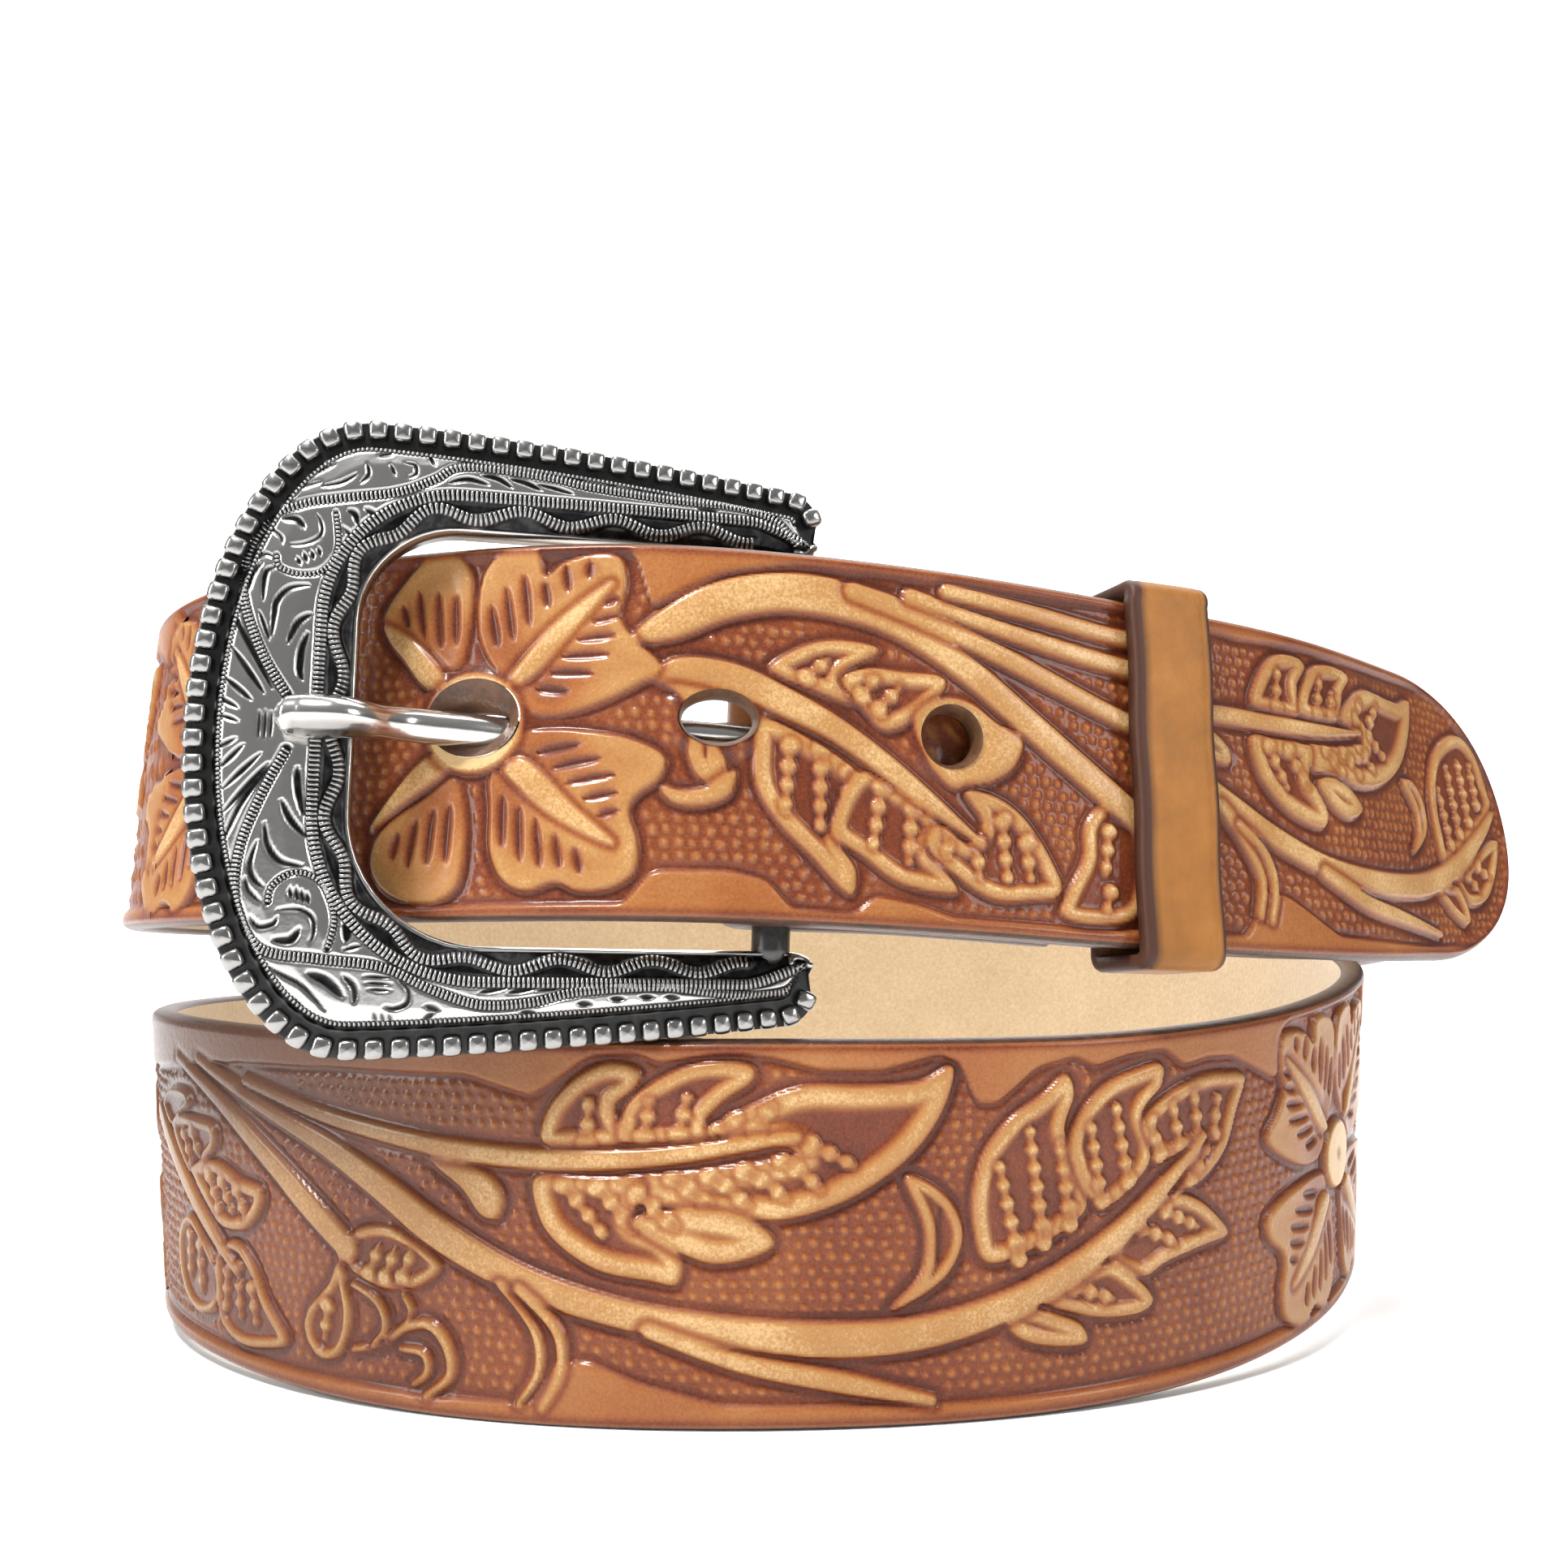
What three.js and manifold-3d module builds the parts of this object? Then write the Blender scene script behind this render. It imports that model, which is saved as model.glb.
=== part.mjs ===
// A tooled leather belt, buckled through a horseshoe western buckle and laid in two turns.
// It stands on the lower edge of its lower turn, with the buckle in the middle of the front.
// Millimetres, +Z up, front towards -Y.

import * as THREE from 'three';
import { mergeVertices } from 'three/addons/utils/BufferGeometryUtils.js';
import Module from 'manifold-3d';

const wasm = await Module();
wasm.setup();

// Strap
const STRAP_WIDTH = 38;
const STRAP_THICKNESS = 3;
const STRAP_EDGE_ROUND = 0.6;
const STANDING_FLAT = 0.2;
const STATION_STEP_DEG = 5.2;
const TIP_ROUND_LENGTH = 26;
const TIP_ROUND_POWER = 2.05;
const TIP_ROUND_SHARES = [0, 0.3, 0.55, 0.75, 0.88, 0.96, 0.995];

// The two turns: how far they reach from the middle, and the free height between them
const LOOP_REACH = 84;
const TURN_GAP = 11.5;
const LAYER_CLEARANCE = 0.6;
const TURN_RISE = STRAP_WIDTH + TURN_GAP;
const LAYER_PITCH = STRAP_THICKNESS + LAYER_CLEARANCE;

// Holes, counted from the tip; the prong is in the third
const HOLE_PITCH = 24.2;
const HOLE_RAISE = 1.2;
const HOLES = [
  { fromProng: 2, long: 6.8, high: 6.8 },
  { fromProng: 1, long: 8.0, high: 5.8 },
  { fromProng: 0, long: 10.2, high: 6.6 },
  { fromProng: -1, long: 6.2, high: 6.2 },
  { fromProng: -2, long: 6.2, high: 6.2 },
];

// Folded end round the bar
const BAR_BEARING = 1;
const BAR_RADIUS = 2;
const FOLD_CLEARANCE = 0.3;
const FOLD_TAIL_LENGTH = 32;
const FOLD_PINCH_LENGTH = 15;
const FOLD_BEND_STEPS = 8;
const TAIL_STEP = 2.5;
const PRONG_SLOT_LENGTH = 28;
const PRONG_SLOT_WIDTH = 7;

// Studs through the fold
const STUD_FROM_BAR = 22;
const STUD_SPACING = 18;
const STUD_POST_RADIUS = 2;
const STUD_HEAD_RADIUS = 4.5;
const STUD_HEAD_HEIGHT = 1.3;
const STUD_DISC_RADIUS = 3.5;
const STUD_DISC_HEIGHT = 0.7;
const STUD_CLEARANCE = 0.36;

// Buckle frame, measured from the middle of its bar
const FRAME_REACH = 57.5;
const FRAME_ARM_OVERHANG = 3.5;
const FRAME_HALF_HEIGHT = 30.6;
const FRAME_END_HALF_HEIGHT = 27.4;
const FRAME_SHOULDER_LENGTH = 15.4;
const FRAME_BAND_WIDTH = 14.8;
const HOLE_FROM_BAND = 11.04;
const FRAME_BACK = -1.5;
const FRAME_CROWN = 3.1;
const FRAME_BOW = 1.2;
const FRAME_SAG = 0.7;
const FRAME_DROOP = 0.014;
const FRAME_SWING_DEG = 1.5;
const WINDOW_CLEARANCE = 1.6;
const WINDOW_UPPER_CORNER_RADIUS = 9.5;
const WINDOW_LOWER_CORNER_RADIUS = 13;
const ARM_END_RADIUS = 3;
const BAR_SEAT = 1.4;
const BEAD_PITCH = 2.4;
const BEAD_LENGTH = 1.95;
const BEAD_RADIUS = 1.1;
const SMALLEST_EDGE = 0.01;

// Prong
const PRONG_ROOT_RADIUS = 1.4;
const PRONG_SHANK_RADIUS = 1.75;
const PRONG_NECK_RADIUS = 1.65;
const PRONG_TIP_RADIUS = 2.15;
const PRONG_TIP_INSET = 7.8;
const PRONG_REACH = FRAME_REACH - PRONG_TIP_INSET;
const PRONG_CLEARANCE = 0.45;
const PRONG_SIDES = 10;
const PRONG_STEPS = 46;
const PRONG_HOOK_DEG = [-300, -255, -210, -165, -120, -75, -35, 0];

// Keeper
const KEEPER_BEARING = 30.1;
const KEEPER_WIDTH = 10.2;
const KEEPER_TILT_DEG = 2;
const KEEPER_THICKNESS = 1.6;
const KEEPER_CLEARANCE = 0.6;
const KEEPER_INNER_RADIUS = 0.5;
const KEEPER_EDGE_ROUND = 0.3;

// Run of the strap over the bar and under the keeper, shared by the buckle end and the tip end.
// bearing: degrees round the middle, 0 at the front, growing towards the right
// reach: share of LOOP_REACH, rise: share of TURN_RISE, lean: degrees, + with the top outwards
const FRONT_RUN = [
  { bearing: -8, reach: 1.025, rise: 1.0, lean: -2.0 },
  { bearing: 0, reach: 0.995, rise: 0.994, lean: -2.0 },
  { bearing: 14, reach: 0.963, rise: 0.974, lean: -2.2 },
  { bearing: 28, reach: 0.97, rise: 0.948, lean: -2.7 },
  { bearing: 42, reach: 1.01, rise: 0.93, lean: -3.6 },
];

// The two turns between those runs; layer counts strap layers outwards
const TURNS = [
  { bearing: 56, reach: 1.043, layer: 0, rise: 0.927, lean: -4.5 },
  { bearing: 78, reach: 1.062, layer: 0, rise: 0.917, lean: -4.2 },
  { bearing: 100, reach: 1.051, layer: 0, rise: 0.848, lean: -3.0 },
  { bearing: 125, reach: 1.043, layer: 0, rise: 0.6, lean: -1.0 },
  { bearing: 150, reach: 1.029, layer: 0, rise: 0.29, lean: 0.3 },
  { bearing: 172, reach: 1.014, layer: 0, rise: 0.075, lean: 1.5 },
  { bearing: 192, reach: 0.993, layer: 0, rise: 0.006, lean: 2.5 },
  { bearing: 215, reach: 0.964, layer: 0, rise: 0.005, lean: 3.5 },
  { bearing: 240, reach: 0.939, layer: 0, rise: 0.036, lean: 4.5 },
  { bearing: 262, reach: 0.935, layer: 0, rise: 0.055, lean: 5.1 },
  { bearing: 285, reach: 0.986, layer: 0, rise: 0.044, lean: 5.2 },
  { bearing: 310, reach: 1.008, layer: 0, rise: 0.026, lean: 5.0 },
  { bearing: 335, reach: 0.987, layer: 0, rise: 0.0, lean: 3.0 },
  { bearing: 360, reach: 0.961, layer: 0, rise: 0.0, lean: 2.0 },
  { bearing: 385, reach: 0.963, layer: 0, rise: 0.004, lean: 2.6 },
  { bearing: 410, reach: 0.979, layer: 0, rise: 0.061, lean: 3.3 },
  { bearing: 435, reach: 0.976, layer: 0, rise: 0.16, lean: 4.4 },
  { bearing: 460, reach: 0.98, layer: -0.5, rise: 0.248, lean: 5.0 },
  { bearing: 485, reach: 0.994, layer: -1, rise: 0.343, lean: 3.5 },
  { bearing: 515, reach: 0.992, layer: -1, rise: 0.444, lean: 1.3 },
  { bearing: 545, reach: 0.971, layer: -1, rise: 0.556, lean: -0.3 },
  { bearing: 575, reach: 0.943, layer: -1, rise: 0.733, lean: -2.2 },
  { bearing: 600, reach: 0.93, layer: -1, rise: 0.919, lean: -4.0 },
  { bearing: 618, reach: 0.952, layer: -0.5, rise: 0.99, lean: -5.0 },
  { bearing: 635, reach: 0.988, layer: 0, rise: 1.0, lean: -4.6 },
  { bearing: 657, reach: 1.086, layer: 0, rise: 1.0, lean: -4.0 },
  { bearing: 680, reach: 1.125, layer: 0, rise: 1.0, lean: -2.8 },
  { bearing: 700, reach: 1.074, layer: 0.5, rise: 1.0, lean: -2.2 },
];

// The free tip past the keeper
const TIP_RUN = [
  { bearing: 775, reach: 1.06, layer: 1, rise: 0.923, lean: -5.6 },
  { bearing: 787, reach: 1.139, layer: 1, rise: 0.921, lean: -7.8 },
  { bearing: 795, reach: 1.236, layer: 1, rise: 0.9, lean: -8.6 },
];

const onLayer = (layer, turned) => (row) => ({ ...row, layer, bearing: row.bearing + turned });
const ROUTE = [
  ...FRONT_RUN.map(onLayer(0, 0)),
  ...TURNS,
  ...FRONT_RUN.map(onLayer(1, 720)),
  ...TIP_RUN,
];
const TIP_BEARING = ROUTE[ROUTE.length - 1].bearing;

// A smooth curve through one column of the route, with free ends
function throughRows(rows, column) {
  const x = rows.map((row) => row.bearing);
  const y = rows.map((row) => row[column]);
  const last = x.length - 1;
  const bend = new Array(last + 1).fill(0);
  const carry = new Array(last + 1).fill(0);
  for (let i = 1; i < last; i++) {
    const share = (x[i] - x[i - 1]) / (x[i + 1] - x[i - 1]);
    const pivot = share * bend[i - 1] + 2;
    const turn = (y[i + 1] - y[i]) / (x[i + 1] - x[i]) - (y[i] - y[i - 1]) / (x[i] - x[i - 1]);
    bend[i] = (share - 1) / pivot;
    carry[i] = ((6 * turn) / (x[i + 1] - x[i - 1]) - share * carry[i - 1]) / pivot;
  }
  for (let i = last - 1; i >= 0; i--) bend[i] = i === 0 ? 0 : bend[i] * bend[i + 1] + carry[i];
  bend[last] = 0;
  return (at) => {
    let k = 0;
    while (k < last - 1 && at > x[k + 1]) k++;
    const gap = x[k + 1] - x[k];
    const a = (x[k + 1] - at) / gap;
    const b = 1 - a;
    const cubic = ((a ** 3 - a) * bend[k] + (b ** 3 - b) * bend[k + 1]) * gap * gap;
    return a * y[k] + b * y[k + 1] + cubic / 6;
  };
}

const reachAt = throughRows(ROUTE, 'reach');
const layerAt = throughRows(ROUTE, 'layer');
const riseAt = throughRows(ROUTE, 'rise');
const leanAt = throughRows(ROUTE, 'lean');
const UP = new THREE.Vector3(0, 0, 1);
const SLOPE_STEP_DEG = 0.25;

function planPoint(bearing) {
  const angle = THREE.MathUtils.degToRad(bearing);
  const reach = reachAt(bearing) * LOOP_REACH;
  return new THREE.Vector3(reach * Math.sin(angle), -reach * Math.cos(angle), 0);
}

// Middle of the strap's thickness at its lower edge
function lowerEdge(bearing) {
  const along = planPoint(bearing + SLOPE_STEP_DEG).sub(planPoint(bearing - SLOPE_STEP_DEG));
  const out = along.cross(UP).normalize();
  const point = planPoint(bearing).addScaledVector(out, layerAt(bearing) * LAYER_PITCH);
  point.z = riseAt(bearing) * TURN_RISE;
  return point;
}

// along the strap, across it towards its upper edge, and out through its grain side
function runFrame(bearing) {
  const before = lowerEdge(bearing - SLOPE_STEP_DEG);
  const along = lowerEdge(bearing + SLOPE_STEP_DEG).sub(before).normalize();
  const out = along.clone().cross(UP).normalize();
  const lean = THREE.MathUtils.degToRad(leanAt(bearing));
  const across = out.clone().cross(along).applyAxisAngle(along, lean);
  out.applyAxisAngle(along, lean);
  return { origin: lowerEdge(bearing), along, out, across };
}

function middleOf(frame) {
  return frame.origin.clone().addScaledVector(frame.across, STRAP_WIDTH / 2);
}

// Distances along the middle of the run, from the bar to the tip
function measureRun() {
  const count = Math.ceil((TIP_BEARING - BAR_BEARING) / STATION_STEP_DEG);
  const bearings = Array.from({ length: count + 1 }, (_, i) => {
    return BAR_BEARING + ((TIP_BEARING - BAR_BEARING) * i) / count;
  });
  const middles = bearings.map((bearing) => middleOf(runFrame(bearing)));
  const distances = [0];
  for (let i = 1; i <= count; i++) distances.push(distances[i - 1] + middles[i].distanceTo(middles[i - 1]));
  return { bearings, distances };
}

function interpolate(xs, ys, at) {
  let k = 0;
  while (k < xs.length - 2 && at > xs[k + 1]) k++;
  return ys[k] + ((ys[k + 1] - ys[k]) * (at - xs[k])) / (xs[k + 1] - xs[k]);
}

const RUN = measureRun();
const RUN_LENGTH = RUN.distances[RUN.distances.length - 1];
const bearingAt = (distance) => interpolate(RUN.distances, RUN.bearings, distance);
const distanceAt = (bearing) => interpolate(RUN.bearings, RUN.distances, bearing);

// Distance from the bar to the hole in use, short of the buckle's band
const WINDOW_REACH = FRAME_REACH - FRAME_BAND_WIDTH;
const HOLE_IN_USE = distanceAt(720 + BAR_BEARING) - (WINDOW_REACH - HOLE_FROM_BAND);

// The fold: the strap turns round the bar and its tail runs back behind it
const FOLD_RADIUS = BAR_RADIUS + FOLD_CLEARANCE + STRAP_THICKNESS / 2;
const BAR_FRAME = runFrame(BAR_BEARING);

function tailOffset(fromBar) {
  const open = 1 - THREE.MathUtils.smoothstep(fromBar, 0, FOLD_PINCH_LENGTH);
  return THREE.MathUtils.lerp(LAYER_PITCH, 2 * FOLD_RADIUS, open);
}

function tailStations() {
  const count = Math.ceil(FOLD_TAIL_LENGTH / TAIL_STEP);
  return Array.from({ length: count }, (_, i) => {
    const fromBar = (FOLD_TAIL_LENGTH * (count - i)) / count;
    const frame = runFrame(bearingAt(fromBar));
    const origin = frame.origin.addScaledVector(frame.out, -tailOffset(fromBar));
    return { origin, across: frame.across };
  });
}

function bendStations() {
  return Array.from({ length: FOLD_BEND_STEPS }, (_, i) => {
    const angle = Math.PI * (1 - i / FOLD_BEND_STEPS);
    const origin = BAR_FRAME.origin.clone();
    origin.addScaledVector(BAR_FRAME.out, FOLD_RADIUS * (Math.cos(angle) - 1));
    origin.addScaledVector(BAR_FRAME.along, -FOLD_RADIUS * Math.sin(angle));
    return { origin, across: BAR_FRAME.across.clone() };
  });
}

function strapStations() {
  const run = RUN.bearings.map((bearing) => {
    const { origin, across } = runFrame(bearing);
    return { origin, across };
  });
  const stations = [...tailStations(), ...bendStations(), ...run];
  const middles = stations.map(middleOf);
  stations.forEach((station, i) => {
    const along = middles[Math.min(i + 1, middles.length - 1)].clone().sub(middles[Math.max(i - 1, 0)]);
    station.out = along.cross(station.across).normalize();
    station.at = i === 0 ? 0 : stations[i - 1].at + middles[i].distanceTo(middles[i - 1]);
  });
  return stations;
}

const STATIONS = strapStations();
const STRAP_LENGTH = STATIONS[STATIONS.length - 1].at;
const RUN_START = STRAP_LENGTH - RUN_LENGTH;

// A closed body through a list of rings with the same number of points, its ends capped
function loft(rings) {
  const size = rings[0].length;
  const points = rings.flat();
  const faces = [];
  const end = (rings.length - 1) * size;
  for (let from = 0; from < end; from += size) {
    const to = from + size;
    for (let k = 0; k < size; k++) {
      const next = (k + 1) % size;
      faces.push(from + k, to + k, to + next, from + k, to + next, from + next);
    }
  }
  for (let k = 1; k < size - 1; k++) faces.push(0, k, k + 1, end, end + k + 1, end + k);
  const geometry = new THREE.BufferGeometry();
  geometry.setAttribute('position', new THREE.Float32BufferAttribute(points.flatMap((p) => p.toArray()), 3));
  geometry.setIndex(faces);
  return geometry;
}

function asSolid(geometry) {
  const bare = geometry.clone();
  bare.deleteAttribute('normal');
  bare.deleteAttribute('uv');
  const merged = mergeVertices(bare, 1e-4);
  const vertProperties = new Float32Array(merged.attributes.position.array);
  const triVerts = new Uint32Array(merged.index.array);
  return new wasm.Manifold(new wasm.Mesh({ numProp: 3, vertProperties, triVerts }));
}

function asGeometry(solid) {
  const mesh = solid.getMesh();
  const geometry = new THREE.BufferGeometry();
  geometry.setAttribute('position', new THREE.Float32BufferAttribute(mesh.vertProperties, 3));
  geometry.setIndex(Array.from(mesh.triVerts));
  geometry.computeVertexNormals();
  return geometry;
}

// Any point of the strap, from its distance along, height across and depth from the middle
function strapPoint(at, height, depth) {
  let k = 0;
  while (k < STATIONS.length - 2 && at > STATIONS[k + 1].at) k++;
  const share = (at - STATIONS[k].at) / (STATIONS[k + 1].at - STATIONS[k].at);
  const mix = (name) => STATIONS[k][name].clone().lerp(STATIONS[k + 1][name], share);
  const point = mix('origin').addScaledVector(mix('across').normalize(), height);
  return point.addScaledVector(mix('out').normalize(), depth);
}

// Strap section: side and face are -1 or 1, and one of the two is drawn in by the edge round
const STRAP_SECTION = [
  { side: -1, face: -1, drawSide: 1, drawFace: 0 },
  { side: -1, face: -1, drawSide: 0, drawFace: 1 },
  { side: -1, face: 1, drawSide: 0, drawFace: 1 },
  { side: -1, face: 1, drawSide: 1, drawFace: 0 },
  { side: 1, face: 1, drawSide: 1, drawFace: 0 },
  { side: 1, face: 1, drawSide: 0, drawFace: 1 },
  { side: 1, face: -1, drawSide: 0, drawFace: 1 },
  { side: 1, face: -1, drawSide: 1, drawFace: 0 },
];

function strapRing(at, halfWidth = STRAP_WIDTH / 2) {
  const round = Math.min(STRAP_EDGE_ROUND, halfWidth / 2);
  return STRAP_SECTION.map(({ side, face, drawSide, drawFace }) => {
    const height = STRAP_WIDTH / 2 + side * (halfWidth - drawSide * round);
    return strapPoint(at, height, face * (STRAP_THICKNESS / 2 - drawFace * STRAP_EDGE_ROUND));
  });
}

function tipHalfWidth(fromTip) {
  const share = Math.max(0, 1 - fromTip / TIP_ROUND_LENGTH);
  return (STRAP_WIDTH / 2) * (1 - share ** TIP_ROUND_POWER) ** (1 / TIP_ROUND_POWER);
}

function plainLength(from, to) {
  const stations = STATIONS.map((station) => station.at).filter((at) => at >= from && at <= to);
  return stations.map((at) => strapRing(at));
}

function roundedTip() {
  const start = STRAP_LENGTH - TIP_ROUND_LENGTH;
  return TIP_ROUND_SHARES.map((share) => {
    const at = start + share * TIP_ROUND_LENGTH;
    return strapRing(at, tipHalfWidth(STRAP_LENGTH - at));
  });
}

// A round or oval punch through the strap where it lies at one distance along it
function punch(at, height, long, high, from = -STRAP_THICKNESS, to = STRAP_THICKNESS) {
  const geometry = new THREE.CylinderGeometry(0.5, 0.5, to - from, 16);
  geometry.translate(0, (from + to) / 2, 0);
  const along = strapPoint(at + 1, height, 0).sub(strapPoint(at - 1, height, 0)).normalize();
  const across = strapPoint(at, height + 1, 0).sub(strapPoint(at, height - 1, 0)).normalize();
  const out = along.clone().cross(across).normalize();
  const basis = new THREE.Matrix4().makeBasis(along, out, across.clone().negate());
  basis.scale(new THREE.Vector3(long, 1, high));
  basis.setPosition(strapPoint(at, height, 0));
  geometry.applyMatrix4(basis);
  return asSolid(geometry);
}

// The slot lets the prong swing: it runs round the bar, equally far along both layers
function prongSlot() {
  const ends = PRONG_SLOT_WIDTH / 2 - 0.1;
  const shape = new THREE.Shape(roundedLoop(PRONG_SLOT_LENGTH, PRONG_SLOT_WIDTH, ends).getPoints(4));
  const depth = 4 * (FOLD_RADIUS + STRAP_THICKNESS);
  const geometry = new THREE.ExtrudeGeometry(shape, { depth, bevelEnabled: false });
  geometry.translate(0, 0, -depth / 2);
  const basis = new THREE.Matrix4().makeBasis(BAR_FRAME.along, BAR_FRAME.across, BAR_FRAME.out);
  basis.setPosition(middleOf(BAR_FRAME).addScaledVector(BAR_FRAME.out, -FOLD_RADIUS));
  geometry.applyMatrix4(basis);
  return asSolid(geometry);
}

function foldedEnd(to) {
  let solid = asSolid(loft(plainLength(0, to))).subtract(prongSlot());
  const post = 2 * (STUD_POST_RADIUS + STUD_CLEARANCE);
  const disc = 2 * (STUD_DISC_RADIUS + STUD_CLEARANCE);
  const discFloor = STRAP_THICKNESS / 2 - STUD_DISC_HEIGHT - STUD_CLEARANCE;
  studHeights().forEach((height) => {
    solid = solid.subtract(punch(RUN_START + STUD_FROM_BAR, height, post, post, -3 * LAYER_PITCH));
    solid = solid.subtract(punch(RUN_START + STUD_FROM_BAR, height, disc, disc, discFloor));
  });
  return solid;
}

function holedTip(from, prongHole) {
  let solid = asSolid(loft([...plainLength(from, STRAP_LENGTH - TIP_ROUND_LENGTH - 1), ...roundedTip()]));
  HOLES.forEach(({ fromProng, long, high }) => {
    const at = prongHole + fromProng * HOLE_PITCH;
    solid = solid.subtract(punch(at, STRAP_WIDTH / 2 + HOLE_RAISE, long, high));
  });
  return solid;
}

// The lower edge is flat where the belt stands on it
function strapGeometry() {
  const prongHole = RUN_START + HOLE_IN_USE;
  const nextStation = (at) => STATIONS.find((station) => station.at > at).at;
  const foldEnd = nextStation(RUN_START + FOLD_TAIL_LENGTH);
  const tipStart = nextStation(prongHole - 3 * HOLE_PITCH);
  const turns = asSolid(loft(plainLength(foldEnd, tipStart)));
  const solid = foldedEnd(foldEnd).add(turns).add(holedTip(tipStart, prongHole));
  const lowest = solid.boundingBox().min[2];
  return asGeometry(solid.trimByPlane([0, 0, 1], lowest + STANDING_FLAT));
}

function studHeights() {
  return [-1, 1].map((side) => STRAP_WIDTH / 2 + (side * STUD_SPACING) / 2);
}

// Stud: a head behind the tail, a post through both layers and a flush disc under the tip run
function studGeometry(height) {
  const frame = runFrame(bearingAt(STUD_FROM_BAR));
  const grip = LAYER_PITCH + STRAP_THICKNESS / 2 + STUD_CLEARANCE;
  const front = STRAP_THICKNESS / 2;
  const profile = [
    [0, -grip - STUD_HEAD_HEIGHT],
    [STUD_HEAD_RADIUS * 0.7, -grip - STUD_HEAD_HEIGHT * 0.9],
    [STUD_HEAD_RADIUS, -grip - STUD_HEAD_HEIGHT * 0.4],
    [STUD_HEAD_RADIUS, -grip],
    [STUD_POST_RADIUS, -grip],
    [STUD_POST_RADIUS, front - STUD_DISC_HEIGHT],
    [STUD_DISC_RADIUS, front - STUD_DISC_HEIGHT],
    [STUD_DISC_RADIUS, front],
    [0, front],
  ].map(([radius, depth]) => new THREE.Vector2(radius, depth));
  const geometry = new THREE.LatheGeometry(profile, 16);
  const basis = new THREE.Matrix4().makeBasis(frame.along, frame.out, frame.across.clone().negate());
  basis.setPosition(frame.origin.clone().addScaledVector(frame.across, height));
  geometry.applyMatrix4(basis.clone());
  if (basis.determinant() < 0) geometry.index.array.reverse();
  return asGeometry(asSolid(geometry));
}

// Buckle frame: side runs along from the bar to the band, up across, face towards the viewer
function buckleBasis() {
  const side = new THREE.Vector3(BAR_FRAME.along.x, BAR_FRAME.along.y, 0).normalize();
  side.applyAxisAngle(UP, THREE.MathUtils.degToRad(FRAME_SWING_DEG));
  side.z = -FRAME_DROOP;
  side.normalize();
  const up = UP.clone().addScaledVector(side, -UP.dot(side)).normalize();
  const face = side.clone().cross(up);
  const bar = middleOf(BAR_FRAME).addScaledVector(BAR_FRAME.out, -FOLD_RADIUS);
  bar.addScaledVector(up, -FRAME_SAG);
  return { side, up, face, bar };
}

const BUCKLE = buckleBasis();

function bowAt(side) {
  const middle = (FRAME_ARM_OVERHANG - FRAME_REACH) / 2;
  const share = (side - middle) / (FRAME_ARM_OVERHANG - middle);
  return FRAME_BOW * (1 - share * share);
}

function buckleBend(side, up, face) {
  return BUCKLE.bar.clone()
    .addScaledVector(BUCKLE.side, side)
    .addScaledVector(BUCKLE.up, up)
    .addScaledVector(BUCKLE.face, face + bowAt(side));
}

const WINDOW_HALF_HEIGHT = STRAP_WIDTH / 2 + WINDOW_CLEARANCE;
const SHOULDER = FRAME_REACH - FRAME_SHOULDER_LENGTH;

// One half of the outline, from the middle of the band to the end of an arm, as matched spokes
function halfSpokes(cornerRadius) {
  const spokes = [];
  const bandSteps = 7;
  const cornerSteps = 6;
  const armSteps = 9;
  const endSteps = 4;
  const bandAngle = 0.29 * Math.PI;
  const cornerBase = WINDOW_HALF_HEIGHT - cornerRadius;
  const outer = (angle) => new THREE.Vector2(
    -SHOULDER - FRAME_SHOULDER_LENGTH * Math.cos(angle),
    FRAME_HALF_HEIGHT * Math.sin(angle),
  );
  for (let i = 0; i < bandSteps; i++) {
    const share = i / bandSteps;
    spokes.push({ outer: outer(bandAngle * share), inner: new THREE.Vector2(-WINDOW_REACH, cornerBase * share) });
  }
  for (let i = 0; i < cornerSteps; i++) {
    const share = i / cornerSteps;
    const turn = (Math.PI / 2) * share;
    const inner = new THREE.Vector2(
      -WINDOW_REACH + cornerRadius * (1 - Math.cos(turn)),
      cornerBase + cornerRadius * Math.sin(turn),
    );
    spokes.push({ outer: outer(THREE.MathUtils.lerp(bandAngle, Math.PI / 2, share)), inner });
  }
  const armStart = { outer: -SHOULDER, inner: -WINDOW_REACH + cornerRadius };
  const armEnd = FRAME_ARM_OVERHANG - ARM_END_RADIUS;
  for (let i = 0; i < armSteps; i++) {
    const share = i / armSteps;
    const height = THREE.MathUtils.lerp(FRAME_HALF_HEIGHT, FRAME_END_HALF_HEIGHT, share ** 1.4);
    spokes.push({
      outer: new THREE.Vector2(THREE.MathUtils.lerp(armStart.outer, armEnd, share), height),
      inner: new THREE.Vector2(THREE.MathUtils.lerp(armStart.inner, armEnd, share), WINDOW_HALF_HEIGHT),
    });
  }
  for (let i = 0; i <= endSteps; i++) {
    const turn = (Math.PI / 2) * (i / endSteps);
    const side = armEnd + ARM_END_RADIUS * Math.sin(turn);
    const drop = ARM_END_RADIUS * (1 - Math.cos(turn));
    const inner = new THREE.Vector2(side, WINDOW_HALF_HEIGHT + 0.3 * drop);
    spokes.push({ outer: new THREE.Vector2(side, FRAME_END_HALF_HEIGHT - drop), inner });
  }
  return spokes;
}

function allSpokes() {
  const upper = halfSpokes(WINDOW_UPPER_CORNER_RADIUS);
  const lower = halfSpokes(WINDOW_LOWER_CORNER_RADIUS).slice(1).reverse();
  const mirrored = lower.map(({ outer, inner }) => ({
    outer: new THREE.Vector2(outer.x, -outer.y),
    inner: new THREE.Vector2(inner.x, -inner.y),
  }));
  return [...mirrored, ...upper];
}

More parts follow.
